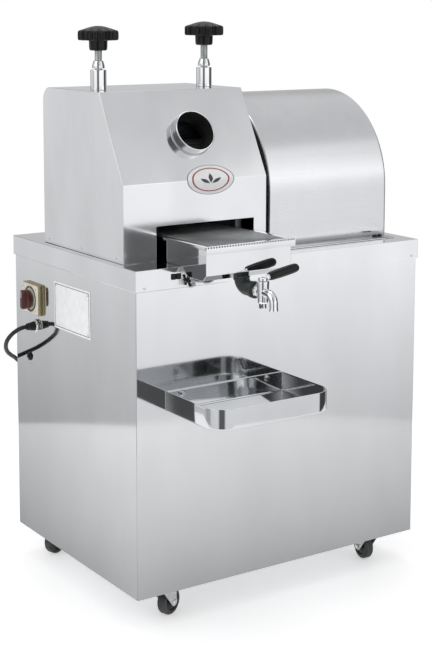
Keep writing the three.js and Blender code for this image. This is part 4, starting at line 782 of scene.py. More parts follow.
@dataclass(frozen=True)
class PowerLead:
    """Black lead: out of the gland, round the rear edge, down the back, and wound up behind."""

    radius: float = 4.0
    side: float = -310.0
    gland: tuple[float, float, float] = (-332.3, 371.0, 475.0)
    outer: float = 52.0
    pitch: float = 10.0
    climb: float = 8.5
    turns: int = 2
    coil: tuple[float, float, float] = (-140.0, 545.0, 4.1)
    tail: float = 26.0
    length: float = 1.84

    def route(self) -> Array:
        """The free part of the lead: from inside the gland to where the coil starts."""
        x, y, z = self.gland
        loop = [(-34, 372, 473.5), (-46, 379, 465), (-51, 394, 450), (-46, 414, 433), (-33, 436, 416),
                (-15, 457, 402), (4, 475, 389), (22, 484, 370), (35, 487, 340), (42, 488, 290), (48, 488, 230),
                (54, 489, 170), (60, 491, 110), (68, 493, 60), (76, 493.2, 34), (89, 493, 15), (107, 493, 6),
                (125, 493, 4.3)]
        start = [(x + 8, y, z), (x, y, z)]
        end = [(self.coil[0] - 20, 493, 4.1), (self.coil[0] - 10.3, 493, 4.1)]
        return np.array(start + [(self.side + a, b, c) for a, b, c in loop] + end)

    def winding(self) -> Array:
        """The coil: the radius falls by the pitch each turn, the lead climbs, and the radius grows again."""
        whole = 2 * self.turns + 0.5
        turn = np.linspace(0, whole, int(whole * 36) + 1)
        climbing = np.clip(2 * (turn - self.turns), 0, 1)
        back = np.minimum(self.turns, self.turns - (turn - self.turns - 0.5))
        radius = self.outer - self.pitch * np.where(turn < self.turns, turn, back)
        angle = 2 * math.pi * turn - math.pi / 2
        x, y, z = self.coil
        return np.c_[x + radius * np.cos(angle), y + radius * np.sin(angle), z + self.climb * climbing]

    def build(self) -> None:
        """The lead, its tie, and its plug."""
        free = smooth_path(self.route(), 10)
        wound = self.winding()
        end = wound[-1] - [self.tail, 0, 0]
        path = np.vstack([free, wound, end + [self.tail / 2, 0, 0], end])
        keep = np.r_[True, np.linalg.norm(np.diff(path, axis=0), axis=1) > 0.8]
        path = path[keep]
        lead = Workshop.drawn("power_lead", swept(path, ring(self.radius, 14)), RUBBER,
                              ("power_cord", "cord_coil"))
        tie, plug = self.tie(), self.plug(end)

    def tie(self) -> Object:
        """A flat strap round the turns, opposite the plug."""
        x, y, _ = self.coil
        inner, top = self.outer - 2 * self.pitch - self.radius - 1, self.climb + 2 * self.radius + 1.2
        outer = self.outer + self.radius + 1
        line = loop([(outer, 0.1, 3), (outer, top, 5), (inner, top, 5), (inner, 0.1, 3)], 8)
        path = np.c_[x + line[:, 0], np.full(len(line), y), line[:, 1] + 0.35]
        band = loop([(0.35, -5, 0.2), (0.35, 5, 0.2), (-0.35, 5, 0.2), (-0.35, -5, 0.2)], 3)
        return Workshop.drawn("lead_tie", swept(path, band, True, RIGHT), RUBBER)

    @staticmethod
    def plug(end: Array) -> list[Object]:
        """Moulded plug with a ribbed neck, a gripped body and two pierced blades."""
        place = spot(end[0] - 0.3, end[1], end[2], LEFT)
        s = np.linspace(0, 1, 90)
        neck = 4.7 + 1.6 * s[:40] / s[39] + 0.7 * np.sign(np.sin(s[:40] * 110)) * (s[:40] > 0.03)
        along = np.r_[s[:40] / s[39] * 18, 18 + (s[40:] - s[40]) / (1 - s[40]) * 34]
        body = 7.2 + 5.2 * np.clip((along[40:] - 18) / 9, 0, 1) ** 0.6
        grip = 0.45 * np.sin(along[40:] * 1.9) * ((along[40:] > 27) & (along[40:] < 44))
        wide = np.r_[neck, np.minimum(12.3, body - 0.45 + grip)]
        profile = np.vstack([[0, 0], np.c_[wide, along], [11, 52], [0, 52]])
        shell = turned(profile, 56)
        shell.points[:, 0] *= 0.98
        blade = flat_sheet(loop([(-3.2, 0), (3.2, 0), (3.2, 18, 1.6), (-3.2, 18, 1.6)], 5),
                           [ring(1.2, 20) + [0, 13]], 1.6)
        blades = []
        for side in (-6.35, 6.35):
            stand = slid(side + 0.8, 0, 51.5) @ Matrix.Rotation(math.pi / 2, 4, "Z")
            blades.append(blade.moved(stand @ Matrix.Rotation(math.pi / 2, 4, "X")))
        return [Workshop.piece("plug_body", shell.moved(place), RUBBER, ("plug",), sharp=50),
                Workshop.piece("plug_blades", Form.joined(blades).moved(place), NUT)]


# Cabinet and casters


@dataclass(frozen=True)
class Cabinet:
    """Folded steel box on four swivel casters, each with its pivot and how far it has swivelled."""

    pivots: tuple[tuple[str, float, float, float], ...] = (
        ("front_left", -237, 39, 22), ("front_right", 237, 39, 82), ("rear_left", -237, 422, 200),
        ("rear_right", 237, 422, 160))
    trail: float = 19.0
    axle_height: float = 24.62
    rear: float = 461.0
    skirt: float = -3.0

    def build(self) -> None:
        """Panels, worktop, their fasteners, and the casters."""
        Workshop.dress(PANEL, 0.6, "left_side_panel", "right_side_panel", "front_panel", "rear_panel")
        Workshop.dress(WORKTOP, 1.0, "worktop")
        Workshop.dress(SATIN, 0.6, "base_plate")
        rear = [spot(x, self.rear, z, BACK) for x in (-296, 0, 296) for z in (72, 345, 585)
                if (x, z) != (0, 72)]
        heads("rear_panel_screws", rear, NUT, 4.0, 2.0)
        skirt = [spot(x, self.skirt, 606.0, FRONT) for x in (-296, 296)]
        heads("skirt_screws", skirt, NUT, 2.6, 1.2)
        for pivot in self.pivots:
            self.caster(*pivot)

    def caster(self, corner: str, x: float, y: float, turn: float) -> None:
        """One caster on its pivot: tyre, hub, axle nuts, kingpin nut and the plate's screws."""
        angle = math.radians(turn)
        way = (math.cos(angle), math.sin(angle), 0)
        axle_way = (-math.sin(angle), math.cos(angle), 0)
        place = at(x + self.trail * way[0], y + self.trail * way[1], self.axle_height)
        axle = facing(place, axle_way, UP)
        swivel, wheel = "caster_swivel_" + corner, "caster_axle_" + corner
        tyre = rounded([(16.5, -8.6), (21.5, -8.9, 1.0), (24.6, -6.6, 2.2), (24.6, 6.6, 2.2), (21.5, 8.9, 1.0),
                        (16.5, 8.6), (16.5, -8.6)], 8)
        Workshop.piece("tyre_" + corner, turned(tyre, 96).moved(axle), TYRE, ("caster_wheel_" + corner,), wheel)
        hub = rounded([(3.4, -11.4), (6.5, -11.4, 1), (7.5, -8, 1.5), (14.5, -6.8, 1), (16.8, -8.8, 0.4),
                       (17.4, -8.8), (17.4, 8.8), (16.8, 8.8, 0.4), (14.5, 6.8, 1), (7.5, 8, 1.5),
                       (6.5, 11.4, 1), (3.4, 11.4), (3.4, -11.4)], 5)
        Workshop.piece("hub_" + corner, turned(hub, 64).moved(axle), BLACK, body=wheel)
        Workshop.dress(ZINC, 0.5, "caster_fork_" + corner)
        lift = slid(0, 0, 13.9)
        far_side = facing(place, (-axle_way[0], -axle_way[1], 0), UP)
        nuts = [hexagon(8, 3.4).moved(axle @ lift), screw_head(4.6, 2.4).moved(far_side @ lift)]
        Workshop.piece("axle_nuts_" + corner, Form.joined(nuts), NUT, body=swivel, sharp=25)
        down = facing(at(x, y, 60.4), DOWN, way)
        Workshop.piece("kingpin_" + corner, hexagon(11, 5).moved(down), ZINC, body=swivel, sharp=25)
        bolts = [facing(at(x + a, y + b, 67.0), DOWN, RIGHT) for a in (-22, 22) for b in (-22, 22)]
        heads("caster_bolts_" + corner, bolts, ZINC, 3.6, 2.4)


# Roller head and hood


@dataclass(frozen=True)
class RollerHead:
    """Cheek plates, rollers and gears under the hood."""

    def build(self) -> None:
        """Finishes for the nodes that stay."""
        Workshop.dress(SATIN, 0.8, "head_left_plate", "head_right_plate", "left_bearing_block",
                       "right_bearing_block", "turner_plate", "tie_bar_front", "tie_bar_rear")
        Workshop.dress(SATIN, 0.5, "top_roller", "front_roller", "rear_roller")
        Workshop.dress(ZINC, 0.5, "top_roller_gear", "front_roller_gear", "rear_roller_gear", "output_coupling")


@dataclass(frozen=True)
class Hood:
    """Sheet hood with a sloping front, a feed tube, an oval sticker and a chute behind."""

    left: float = -299.0
    right: float = 1.0
    front: float = 61.0
    rear: float = 357.0
    bend: float = 774.0
    lean: float = math.atan2(82, 155)
    tube: tuple[float, float, float] = (-137.0, 86.6, 38.5)
    badge: tuple[float, float, float] = (-119.4, 99.0, 54.0)

    def build(self) -> None:
        """The hood's node, its rivets, the tube, the sticker and the chute's rim."""
        Workshop.dress(SHEET, 0.65, "head_hood")
        Workshop.dress(SATIN, 0.6, "bagasse_chute")
        self.feed_tube()
        self.sticker()
        low = 646
        rivets = [spot(self.left, y, low, LEFT) for y in (84, 210, 336)]
        rivets += [spot(x, self.rear, low, BACK) for x in (-280, -149, -18)]
        heads("hood_rivets", rivets, NUT, 2.6, 1.1)
        flange = [spot(x, self.rear + 1.8, z, BACK) for x in (-253.5, -45.5) for z in (780, 836, 892)]
        heads("chute_screws", flange, NUT, 3.4, 1.8)
        lip = smooth_path([(-246, 455, 747), (-246, 455, 786)], 2)
        sill = np.array([(-247, 455.6, 738.6), (-52, 455.6, 738.6)])
        wire = ring(1.5, 16)
        other = lip + [193.0, 0, 0]
        hem = Form.joined([swept(lip, wire, up=RIGHT), swept(other, wire, up=RIGHT), swept(sill, wire)])
        Workshop.drawn("chute_hem", hem, SATIN)

    def on_slope(self, x: float, along: float, lift: float) -> Vector:
        """A place on the slope, so far up from the bend and so far off the sheet."""
        s, c = math.sin(self.lean), math.cos(self.lean)
        return at(x, self.front + along * s - lift * c, self.bend + along * c + lift * s)

    def feed_tube(self) -> None:
        """A tube square to the slope with a rolled rim, and the weld that holds it."""
        x, along, radius = self.tube
        normal = (0, -math.cos(self.lean), math.sin(self.lean))
        place = facing(self.on_slope(x, along, 0), normal, (0, math.sin(self.lean), math.cos(self.lean)))
        wall = rounded([(radius - 1.6, -21.8), (radius, -21.8), (radius, 19.8, 0.9), (radius - 1.6, 19.8, 0.7),
                        (radius - 1.6, -21.8)], 8)
        Workshop.piece("feed_tube_wall", turned(wall, 128).moved(place), MIRROR, ("feed_tube",))
        # A black lining inside the tube: painted shade for the tube's dark inside.
        shade_lining = [(-1.7, -21.5), (-1.7, 17.8), (-2.1, 18.2), (-2.5, 17.8), (-2.5, -21.5), (-1.7, -21.5)]
        Workshop.piece("feed_tube_shade_lining", turned(shade_lining + np.array([radius, 0]), 128).moved(place), RUBBER)
        rim = np.vstack([ring(1.15, 20) + [radius - 0.9, 19.0], [[radius + 0.25, 19.0]]])
        Workshop.piece("feed_tube_rim", turned(rim, 128).moved(place), CHROME)
        bead = np.vstack([ring(1.4, 14) + [radius + 0.5, 0.5], [[radius + 1.9, 0.5]]])
        Workshop.piece("feed_tube_weld", turned(bead, 256, self.ripple).moved(place), SATIN)

    @staticmethod
    def ripple(turn: Array) -> Array:
        """The weld's ninety ripples, by angle."""
        return 1 + 0.004 * np.sin(90 * turn)

    def draped(self, x: Array, along: Array, lift: float) -> Array:
        """Points laid over the hood's fold: below the bend upright, above it leaning back."""
        s, c = math.sin(self.lean), math.cos(self.lean)
        up = np.maximum(along, 0)
        low = np.minimum(along, 0)
        soft = 1.2 * np.exp(-(along / 4.0) ** 2)
        y = self.front + up * s - lift * np.where(along > 0, c, 1.0) + 0.25 * soft
        z = self.bend + up * c + low + lift * s * (along > 0)
        return np.stack([x, y, z], -1)

    def sticker(self) -> None:
        """An oval film over the fold: a silver field, a red ring and a dark motif of three leaves."""
        x0, wide, tall = self.badge
        films = [("field", 0, 0, 0.0, 0.45, SILVER), ("edge", 0, 0, 0.975, 0.6, INK),
                 ("band", 10, 5.5, 0.92, 0.6, RED_INK)]
        for part, a, b, inner, lift, finish in films:
            film = self.oval(x0, wide / 2 - a, tall / 2 - b, inner, lift)
            Workshop.drawn("sticker_" + part, film, finish, sharp=80)
        leaves = [self.leaf(x0, -2.0, angle) for angle in (-58, 0, 58)]
        Workshop.drawn("sticker_leaves", Form.joined(leaves), INK, sharp=80)

    def oval(self, x0: float, a: float, b: float, inner: float, lift: float) -> Form:
        """An oval band about the bend, draped over it as a thin closed film.

        Args:
            x0: Its middle across the hood.
            a: Half its width.
            b: Half its height.
            inner: Where its inner edge is, as a share of the outer; 0 fills it.
            lift: How far its face stands off the sheet.

        Returns:
            Two surfaces a third of a millimetre apart, joined round their edges.
        """
        turn = round_turn(96)
        share = np.linspace(inner, 1, 3 if inner else 24)[:, None]
        x, s = x0 + a * share * np.cos(turn), b * share * np.sin(turn)
        face, back = self.draped(x, s, lift), self.draped(x, s, lift - 0.35)
        return lattice(np.vstack([face, back[::-1], face[:1]]))

    def leaf(self, x0: float, s0: float, angle: float) -> Form:
        """A pointed leaf: its half width is a sine along its length, draped over the fold."""
        t = np.linspace(0, 1, 24)[:, None]
        across = np.linspace(-1, 1, 9)
        a = math.radians(angle)
        length, wide = 2 + 17 * t, 4.2 * np.sin(math.pi * t) * across
        x = x0 + length * math.sin(a) * 1.35 + wide * math.cos(a)
        s = s0 + length * math.cos(a) - wide * math.sin(a) * 0.6 - 6
        face, back = self.draped(x, s, 0.6), self.draped(x, s, 0.3)
        rows = np.concatenate([face, back[:, ::-1]], axis=1)
        return lattice(rows, caps=True)


@dataclass(frozen=True)
class PressureScrew:
    """Threaded screw with its star knob, sleeve and lock nut, on one side of the head."""

    side: str
    x: float
    rise: float
    y: float = 210.0
    sleeve_foot: float = 929.3
    nut_foot: float = 967.5
    knob_foot: float = 999.0
    top: float = 1021.0

    def build(self) -> None:
        """Every piece of the screw."""
        screw, nut = self.side + "_screw", self.side + "_nut"
        tip = self.top + self.rise
        Workshop.drawn(self.side + "_thread", self.thread(972.0, tip - 6), ZINC, body=screw, sharp=70)
        shank = rounded([(0, 874), (9, 874, 0.5), (9, 880, 0.5), (6.3, 880), (6.3, tip - 2, 1), (4.5, tip, 0.5),
                         (0, tip)], 4)
        plain = turned(shank, 40).moved(slid(self.x, self.y, 0))
        Workshop.drawn(self.side + "_shank", plain, ZINC, (self.side + "_pressure_screw",), screw)
        self.knob(spot(self.x, self.y, self.knob_foot + self.rise, UP), screw)
        sleeve = rounded([(7.3, -7), (10.4, -7), (10.4, 0), (14.4, 0, 0.5), (14.4, 35.8, 1.3), (8.4, 35.8, 0.5),
                          (7.3, 34.6), (7.3, -7)], 6)
        stand = spot(self.x, self.y, self.sleeve_foot, UP)
        Workshop.piece(self.side + "_sleeve", turned(sleeve, 96).moved(stand), CHROME,
                       (self.side + "_screw_sleeve",))
        cone = rounded([(7.3, 0), (11.4, 0, 0.4), (11.4, 4.4, 0.8), (8.6, 13.6, 0.8), (7.3, 13.6), (7.3, 0)], 6)
        seat = spot(self.x, self.y, self.nut_foot, UP)
        Workshop.piece(self.side + "_cone_nut", turned(cone, 80).moved(seat), NUT,
                       (self.side + "_lock_nut",), nut)

    def thread(self, low: float, high: float) -> Form:
        """A screw thread: the radius is a triangle wave of height less the turn, two millimetres a turn."""
        z = np.arange(low, high, 0.25)[:, None]
        turn = round_turn(40)
        wave = np.abs(((z / 2.0 - turn / (2 * math.pi)) % 1) * 2 - 1)
        radius = 6.9 - 0.9 * wave
        x, y = self.x + radius * np.cos(turn), self.y + radius * np.sin(turn)
        return lattice(np.stack([x, y, np.broadcast_to(z, x.shape)], -1), caps=True)

    def knob(self, place: Matrix, body: str) -> None:
        """Star knob: a profile turned about its axis, whose radius dips fourteen times round the rim."""
        rows = np.array([(0, 0, 0), (12.6, 0, 0), (14.6, 0.5, 0), (15.8, 2.0, 0), (16.3, 6, 0), (16.5, 12, 0),
                         (16.6, 17.2, 0), (17.6, 18.0, 0.05), (24, 18.1, 0.6), (33.6, 18.2, 1), (35.8, 19.2, 1),
                         (36.4, 21.4, 1), (36.5, 26, 1), (36.4, 32, 1), (35.8, 34.4, 1), (33.6, 35.9, 0.95),
                         (29, 37.3, 0.6), (24, 38.9, 0.2), (19, 40.6, 0), (13, 42.3, 0), (7, 43.5, 0),
                         (0, 44, 0)])
        t = np.arange(len(rows))
        fine = np.linspace(0, len(rows) - 1, 4 * len(rows) - 3)
        profile = np.c_[[np.interp(fine, t, rows[:, k]) for k in range(3)]].T
        profile[1:-1] = (profile[:-2] + 2 * profile[1:-1] + profile[2:]) / 4

        def dips(turn: Array) -> Array:
            """Fourteen rounded hollows, as deep as the profile's third column says."""
            wave = (1 - np.cos(14 * turn)) / 2
            return 1 - profile[:, 2:3] * 0.13 * wave ** 1.5

        form = turned(profile[:, :2], 168, dips)
        Workshop.piece(self.side + "_knob", form.moved(place), BLACK, (self.side + "_star_knob",), body,
                       sharp=60)


# Drive


@dataclass(frozen=True)
class DriveCover:
    """Half-barrel cover with end plates, a foot and its screws."""

    left: float = 17.5
    right: float = 295.0
    middle: float = 253.0
    axis: float = 733.0
    radius: float = 180.0
    deck: float = 637.3
    shaft: tuple[float, float] = (264.0, 790.66)

    def build(self) -> None:
        """Barrel, end plates, foot, and what hides under them."""
        cover = Workshop.drawn("cover_barrel", self.barrel(), COVER, ("drive_cover",), sharp=30)
        wall = cover.modifiers.new("sheet", "SOLIDIFY")
        wall.thickness, wall.offset = 1.5 * MM, 0.0
        self.end_plate("cover_left_plate", self.left + 0.1, LEFT, True)
        self.end_plate("cover_right_plate", self.right - 0.1, RIGHT, False)
        foot = flat_sheet(loop([(self.left, 34), (285, 34, 3), (285, 74), (self.left, 74)], 5), [], 1.5, 0.5)
        lift = slid(0, 0, self.deck)
        Workshop.piece("cover_foot", foot.moved(drawing() @ lift), COVER)
        # Small black beads in a row along the foot's front edge: a painted shadow line where the foot meets the
        # worktop.
        row = [spot(x, 39.0, self.deck + 1.45, UP) for x in range(24, 280, 6)]
        heads("foot_shadow_beads", row, BLACK, 1.9, 0.6)
        clip = [spot(x, 58.0, self.deck + 1.45, UP) for x in (256, 268)]
        heads("foot_clips", clip, BLACK, 5.0, 4.0)
        places = (95, 655), (411, 655), (120, 830), (386, 830), (253, 900)
        ends = [spot(self.right, y, z, RIGHT) for y, z in places]
        heads("cover_end_screws", ends, NUT, 3.2, 1.6)
        Workshop.dress(CAST, 0.8, "gear_reducer", "motor_housing", "motor_pulley", "driven_pulley")
        Workshop.dress(RUBBER, 0.6, "drive_belt")
        Workshop.dress(ZINC, 0.8, "motor_mount")

    def barrel(self) -> Form:
        """The skin: a half circle on two upright sides, carried across, with folded-over ends."""
        turn = np.linspace(0, math.pi, 121)
        x_steps = np.array([0.8, 1.0, 1.6, 2.6, 4.0, 8.0])
        x = np.r_[self.left + x_steps, np.linspace(self.left + 30, self.right - 30, 8),
                  (self.right - x_steps)[::-1]]
        from_end = np.minimum(x - self.left, self.right - x)
        drop = 2.4 * (1 - np.sqrt(np.clip(1 - (1 - np.clip((from_end - 0.75) / 2.4, 0, 1)) ** 2, 0, 1)))
        r = self.radius - 0.75 - drop[:, None]
        upright = np.linspace(self.deck, self.axis, 9)[:-1]
        y = np.hstack([self.middle + r * np.ones(8), self.middle + r * np.cos(turn),
                       self.middle - r * np.ones(8)])
        z = np.hstack([upright + 0 * r, self.axis + r * np.sin(turn), upright[::-1] + 0 * r])
        return lattice(np.stack([x[:, None] + 0 * y, y, z], -1), wrap_columns=False)

    def end_plate(self, name: str, x: float, normal: tuple[float, float, float], bored: bool) -> None:
        """A flat end under the barrel's fold.

        Args:
            name: Of the piece.
            x: Its outside face.
            normal: The way it looks.
            bored: Whether the rear roller's shaft passes through it.
        """
        turn = np.linspace(0, math.pi, 97)
        r = self.radius - 3.0
        sign = normal[0]
        arc = np.c_[sign * r * np.cos(turn), r * np.sin(turn)]
        foot = self.deck - self.axis
        outline = np.vstack([arc, [[-sign * r, foot], [sign * r, foot]]])
        hole = ring(24, 48) + [sign * (self.shaft[0] - self.middle), self.shaft[1] - self.axis]
        plate = flat_sheet(outline[::int(sign)], [hole] if bored else [], 1.5, 0.3)
        place = facing(at(x, self.middle, self.axis), normal, UP) @ slid(0, 0, -1.5)
        Workshop.piece(name, plate.moved(place), COVER)


# Juice path


@dataclass(frozen=True)
class JuicePath:
    """Trough with its perforated strainer, and the tap below its front end."""

    left: float = -222.0
    right: float = -47.0
    front: float = -80.0
    rear: float = 330.0
    outlet: float = -130.0
    strainer_top: float = 680.8
    tap_z: float = 601.2
    plug_y: float = -113.0
    spout_y: float = -144.0

    def build(self) -> None:
        """Trough, strainer, elbow and tap."""
        Workshop.dress(TROUGH, 0.6, "juice_trough")
        self.strainer()
        self.elbow()
        self.tap()
        self.lever()
        self.clips()

    def strainer(self) -> None:
        """Perforated sheet in a plain border with folded lips."""
        x0, x1 = self.left - 1.8, self.right + 1.8
        y0, y1, top = self.front - 1.8, self.rear, self.strainer_top
        wing, step = self.right + 7, 6.0
        inner = (x0 + 8, x1 - 8, y0 + 9, y1 - 14)
        columns, rows = int((inner[1] - inner[0]) / step), int((inner[3] - inner[2]) / step)
        sheet = self.perforated(inner[0], inner[2], step, columns, rows, 2.4)
        lift = slid(0, 0, top - 0.2)
        mesh = Workshop.piece("strainer_mesh", sheet.moved(drawing() @ lift), MESH, ("strainer_screen",),
                              "strainer", sharp=30)
        wall = mesh.modifiers.new("sheet", "SOLIDIFY")
        wall.thickness, wall.offset = 1.1 * MM, -1.0
        x2, y2 = inner[0] + columns * step, inner[2] + rows * step
        outline = loop([(x0, y0, 1), (wing, y0, 2), (wing, 52, 2), (x1, 52), (x1, y1, 1), (x0, y1, 1)], 4)
        a, b, c, d = inner[0] + 1, inner[2] + 1, x2 - 1, y2 - 1
        hole = loop([(a, b, 1), (c, b, 1), (c, d, 1), (a, d, 1)], 4)
        border = flat_sheet(outline, [hole], 1.5, 0.35).moved(slid(0, 0, top - 1.5))
        fold = loop([(0.75, 0, 0.5), (0.75, 1.5, 0.5), (-12.2, 1.5, 0.5), (-12.2, 0, 0.5)], 3)
        lip = swept(np.array([(x0 + 0.2, y0, top - 0.8), (wing - 0.2, y0, top - 0.8)]), fold, up=UP)
        low = loop([(0.75, 0, 0.5), (0.75, 1.4, 0.5), (-4.2, 1.4, 0.5), (-4.2, 0, 0.5)], 3)
        runs = (x0, y1 - 0.3, y0 + 0.3), (x1, 53, y1 - 0.3)
        sides = [swept(np.array([(x, a, top - 0.8), (x, b, top - 0.8)]), low, up=UP) for x, a, b in runs]
        Workshop.drawn("strainer_border", Form.joined([border, lip, *sides]), SHEET, body="strainer")
        row = [spot(x, y0 - 1.45, top - 1.4, FRONT) for x in np.arange(x0 + 4, wing - 3, 5.5)]
        heads("strainer_serration", row, BLACK, 1.5, 0.5, body="strainer")

    @staticmethod
    def perforated(x0: float, y0: float, step: float, columns: int, rows: int, radius: float) -> Form:
        """A sheet of square cells, each with a round hole: eight faces lead from the square to the hole.

        Args:
            x0: The first cell's left.
            y0: The first cell's front.
            step: From cell to cell.
            columns: Cells across.
            rows: Cells along.
            radius: Of the holes.

        Returns:
            The open sheet on the plane Z = 0.
        """
        turn = np.arange(8) * math.pi / 4
        square = np.c_[np.cos(turn), np.sin(turn)]
        square = square / np.abs(square).max(axis=1, keepdims=True) * step / 2
        cell = np.vstack([square, radius * np.c_[np.cos(turn), np.sin(turn)]])
        i, j = np.meshgrid(np.arange(columns), np.arange(rows))
        middle = np.c_[x0 + (i.ravel() + 0.5) * step, y0 + (j.ravel() + 0.5) * step]
        flat = (middle[:, None] + cell[None]).reshape(-1, 2)
        k = np.arange(8)
        quad = np.c_[k, (k + 1) % 8, 8 + (k + 1) % 8, 8 + k]
        faces = (np.arange(len(middle))[:, None, None] * 16 + quad[None]).reshape(-1, 4)
        return Form(np.c_[flat, np.zeros(len(flat))], [tuple(f) for f in faces.tolist()])

    def elbow(self) -> None:
        """A dark moulded bend with a swelling at each end, swept with its radius as a function of length."""
        z, bend = self.tap_z, 18.5
        turn = np.linspace(0, math.pi / 2, 24)
        arc = np.c_[np.full(24, self.outlet), -68.5 + bend * np.cos(turn), z + bend - bend * np.sin(turn)]
        path = np.vstack([[self.outlet, -50, 621.5], arc, [self.outlet, -80, z], [self.outlet, -92, z]])
        along = np.r_[0, np.cumsum(np.linalg.norm(np.diff(path, axis=0), axis=1))]
        fine = np.linspace(0, along[-1], 90)
        path = np.c_[[np.interp(fine, along, path[:, k]) for k in range(3)]].T
        end = np.minimum(fine, fine[-1] - fine)
        radius = 13.4 + 1.3 * np.clip((7.5 - end) * 2, 0, 1)
        sections = radius[:, None, None] * ring(1.0, 48)[None]
        Workshop.drawn("elbow", swept(path, sections, up=RIGHT), DARK, ("outlet_elbow",), "trough")

    def tap(self) -> None:
        """Chrome tap: six-sided collar, neck, tapered housing and a curved spout."""
        z, x = self.tap_z, self.outlet
        out = spot(x, -92.3, z, FRONT)
        collar = hexagon(21, 9).moved(out)
        neck = [(0, 8), (10.4, 8, 0.6), (10.4, 10.4, 0.6), (8.2, 11.2, 0.6), (8.2, 20), (0, 20)]
        stand = spot(x, self.plug_y, z - 19, UP)
        housing = rounded([(0, 0), (8.6, 0, 0.8), (9.2, 3, 0.5), (9.4, 10), (10.8, 34, 0.6), (10.8, 37.6, 0.7),
                           (0, 37.6)], 6)
        turn = np.linspace(math.pi / 2, math.pi, 26)
        arc = np.c_[np.full(26, x), -128 + 16 * np.cos(turn), z - 16 + 16 * np.sin(turn)]
        path = np.vstack([[x, -108, z], [x, -118, z], [x, -123, z], arc, [x, self.spout_y, z - 21],
                          [x, self.spout_y, z - 27]])
        outer = np.r_[np.full(len(path) - 2, 7.4), 7.4, 7.9]
        spout = swept(path, outer[:, None, None] * ring(1.0, 48)[None], up=RIGHT)
        bead = turned(np.vstack([ring(1.0, 16) + [7.0, 0], [[8.0, 0]]]), 64)
        bead = bead.moved(spot(x, self.spout_y, z - 26, DOWN))
        chrome = [collar, lathe(neck, 5, 64).moved(out), turned(housing, 72).moved(stand),
                  spout.moved(drawing()), bead]
        Workshop.piece("tap_casting", Form.joined(chrome), CHROME, ("tap_body",), "trough", sharp=30)
        # A thin dark disc on the spout's closed end: painted shade standing in for the open bore.
        mouth = turned(np.array([(0, 0), (4.6, 0), (4.6, 0.4), (0, 0.4)]), 40)
        Workshop.piece("spout_bore_shade", mouth.moved(spot(x, self.spout_y, z - 27.1, DOWN)), DARK, body="trough")

    def lever(self) -> None:
        """Plug cap, nut, lever rod and the black grip with its ferrule."""
        z, x = self.tap_z, self.outlet
        cap = rounded([(0, 0), (8.2, 0, 0.6), (8.2, 5.2, 1.6), (3.4, 6.6, 0.6), (0, 6.6)], 6)
        top = turned(cap, 64).moved(spot(x, self.plug_y, z + 19.4, UP))
        nut = hexagon(11, 9).moved(spot(x, self.plug_y, z - 19.4, DOWN))
        tilt = math.radians(10)
        rod_way = (math.cos(tilt), 0, math.sin(tilt))
        along = facing(at(x, self.plug_y, z + 22.8), rod_way, BACK)
        rod = lathe([(0, 0), (3.4, 0), (3.4, 10.5), (4.8, 11, 0.4), (4.8, 13, 0.4), (3.4, 13.4), (3.4, 59),
                     (0, 59)], 4, 40).moved(along)
        Workshop.piece("tap_lever_metal", Form.joined([top, nut, rod]), CHROME, ("tap_plug",), "tap_lever",
                       sharp=30)
        grip = rounded([(3.9, 13.2), (6.6, 13.2, 0.8), (7.6, 18, 2), (8.3, 34, 6), (8.3, 62, 6), (7.4, 71, 3),
                        (4, 74.6, 2), (0, 74.9)], 8)
        grip = np.vstack([[0, 13.2], grip])
        Workshop.piece("tap_grip_moulding", turned(grip, 72).moved(along), BLACK, ("tap_grip",), "tap_lever",
                       sharp=50)

    def clips(self) -> None:
        """Two square catches on the skirt beside the trough, and the wing screw that holds it."""
        pad = flat_sheet(rounded_box(8.5, 10, 1.2), [], 2.2, 0.5)
        pads = [pad.moved(spot(x, -3.0, 621.0, FRONT)) for x in (-238, -228)]
        Workshop.piece("skirt_catches", Form.joined(pads), BLACK)
        stem = lathe([(0, 0), (4.2, 0, 0.3), (4.2, 4, 0.6), (3, 9, 0.8), (0, 9)], 4, 32)
        wing = flat_sheet(loop([(-10, 0, 3), (10, 0, 3), (9, 8, 3), (2.5, 3.6, 1.4), (-2.5, 3.6, 1.4),
                                (-9, 8, 3)], 6), [], 3.0, 0.8)
        lay = slid(0, 1.5, 4.0) @ Matrix.Rotation(math.pi / 2, 4, "X")
        place = facing(at(-211, -3.0, 612.0), FRONT, (1, 0, 0.2))
        Workshop.piece("wing_screw", Form.joined([stem, wing.moved(lay)]).moved(place), BLACK, sharp=40)


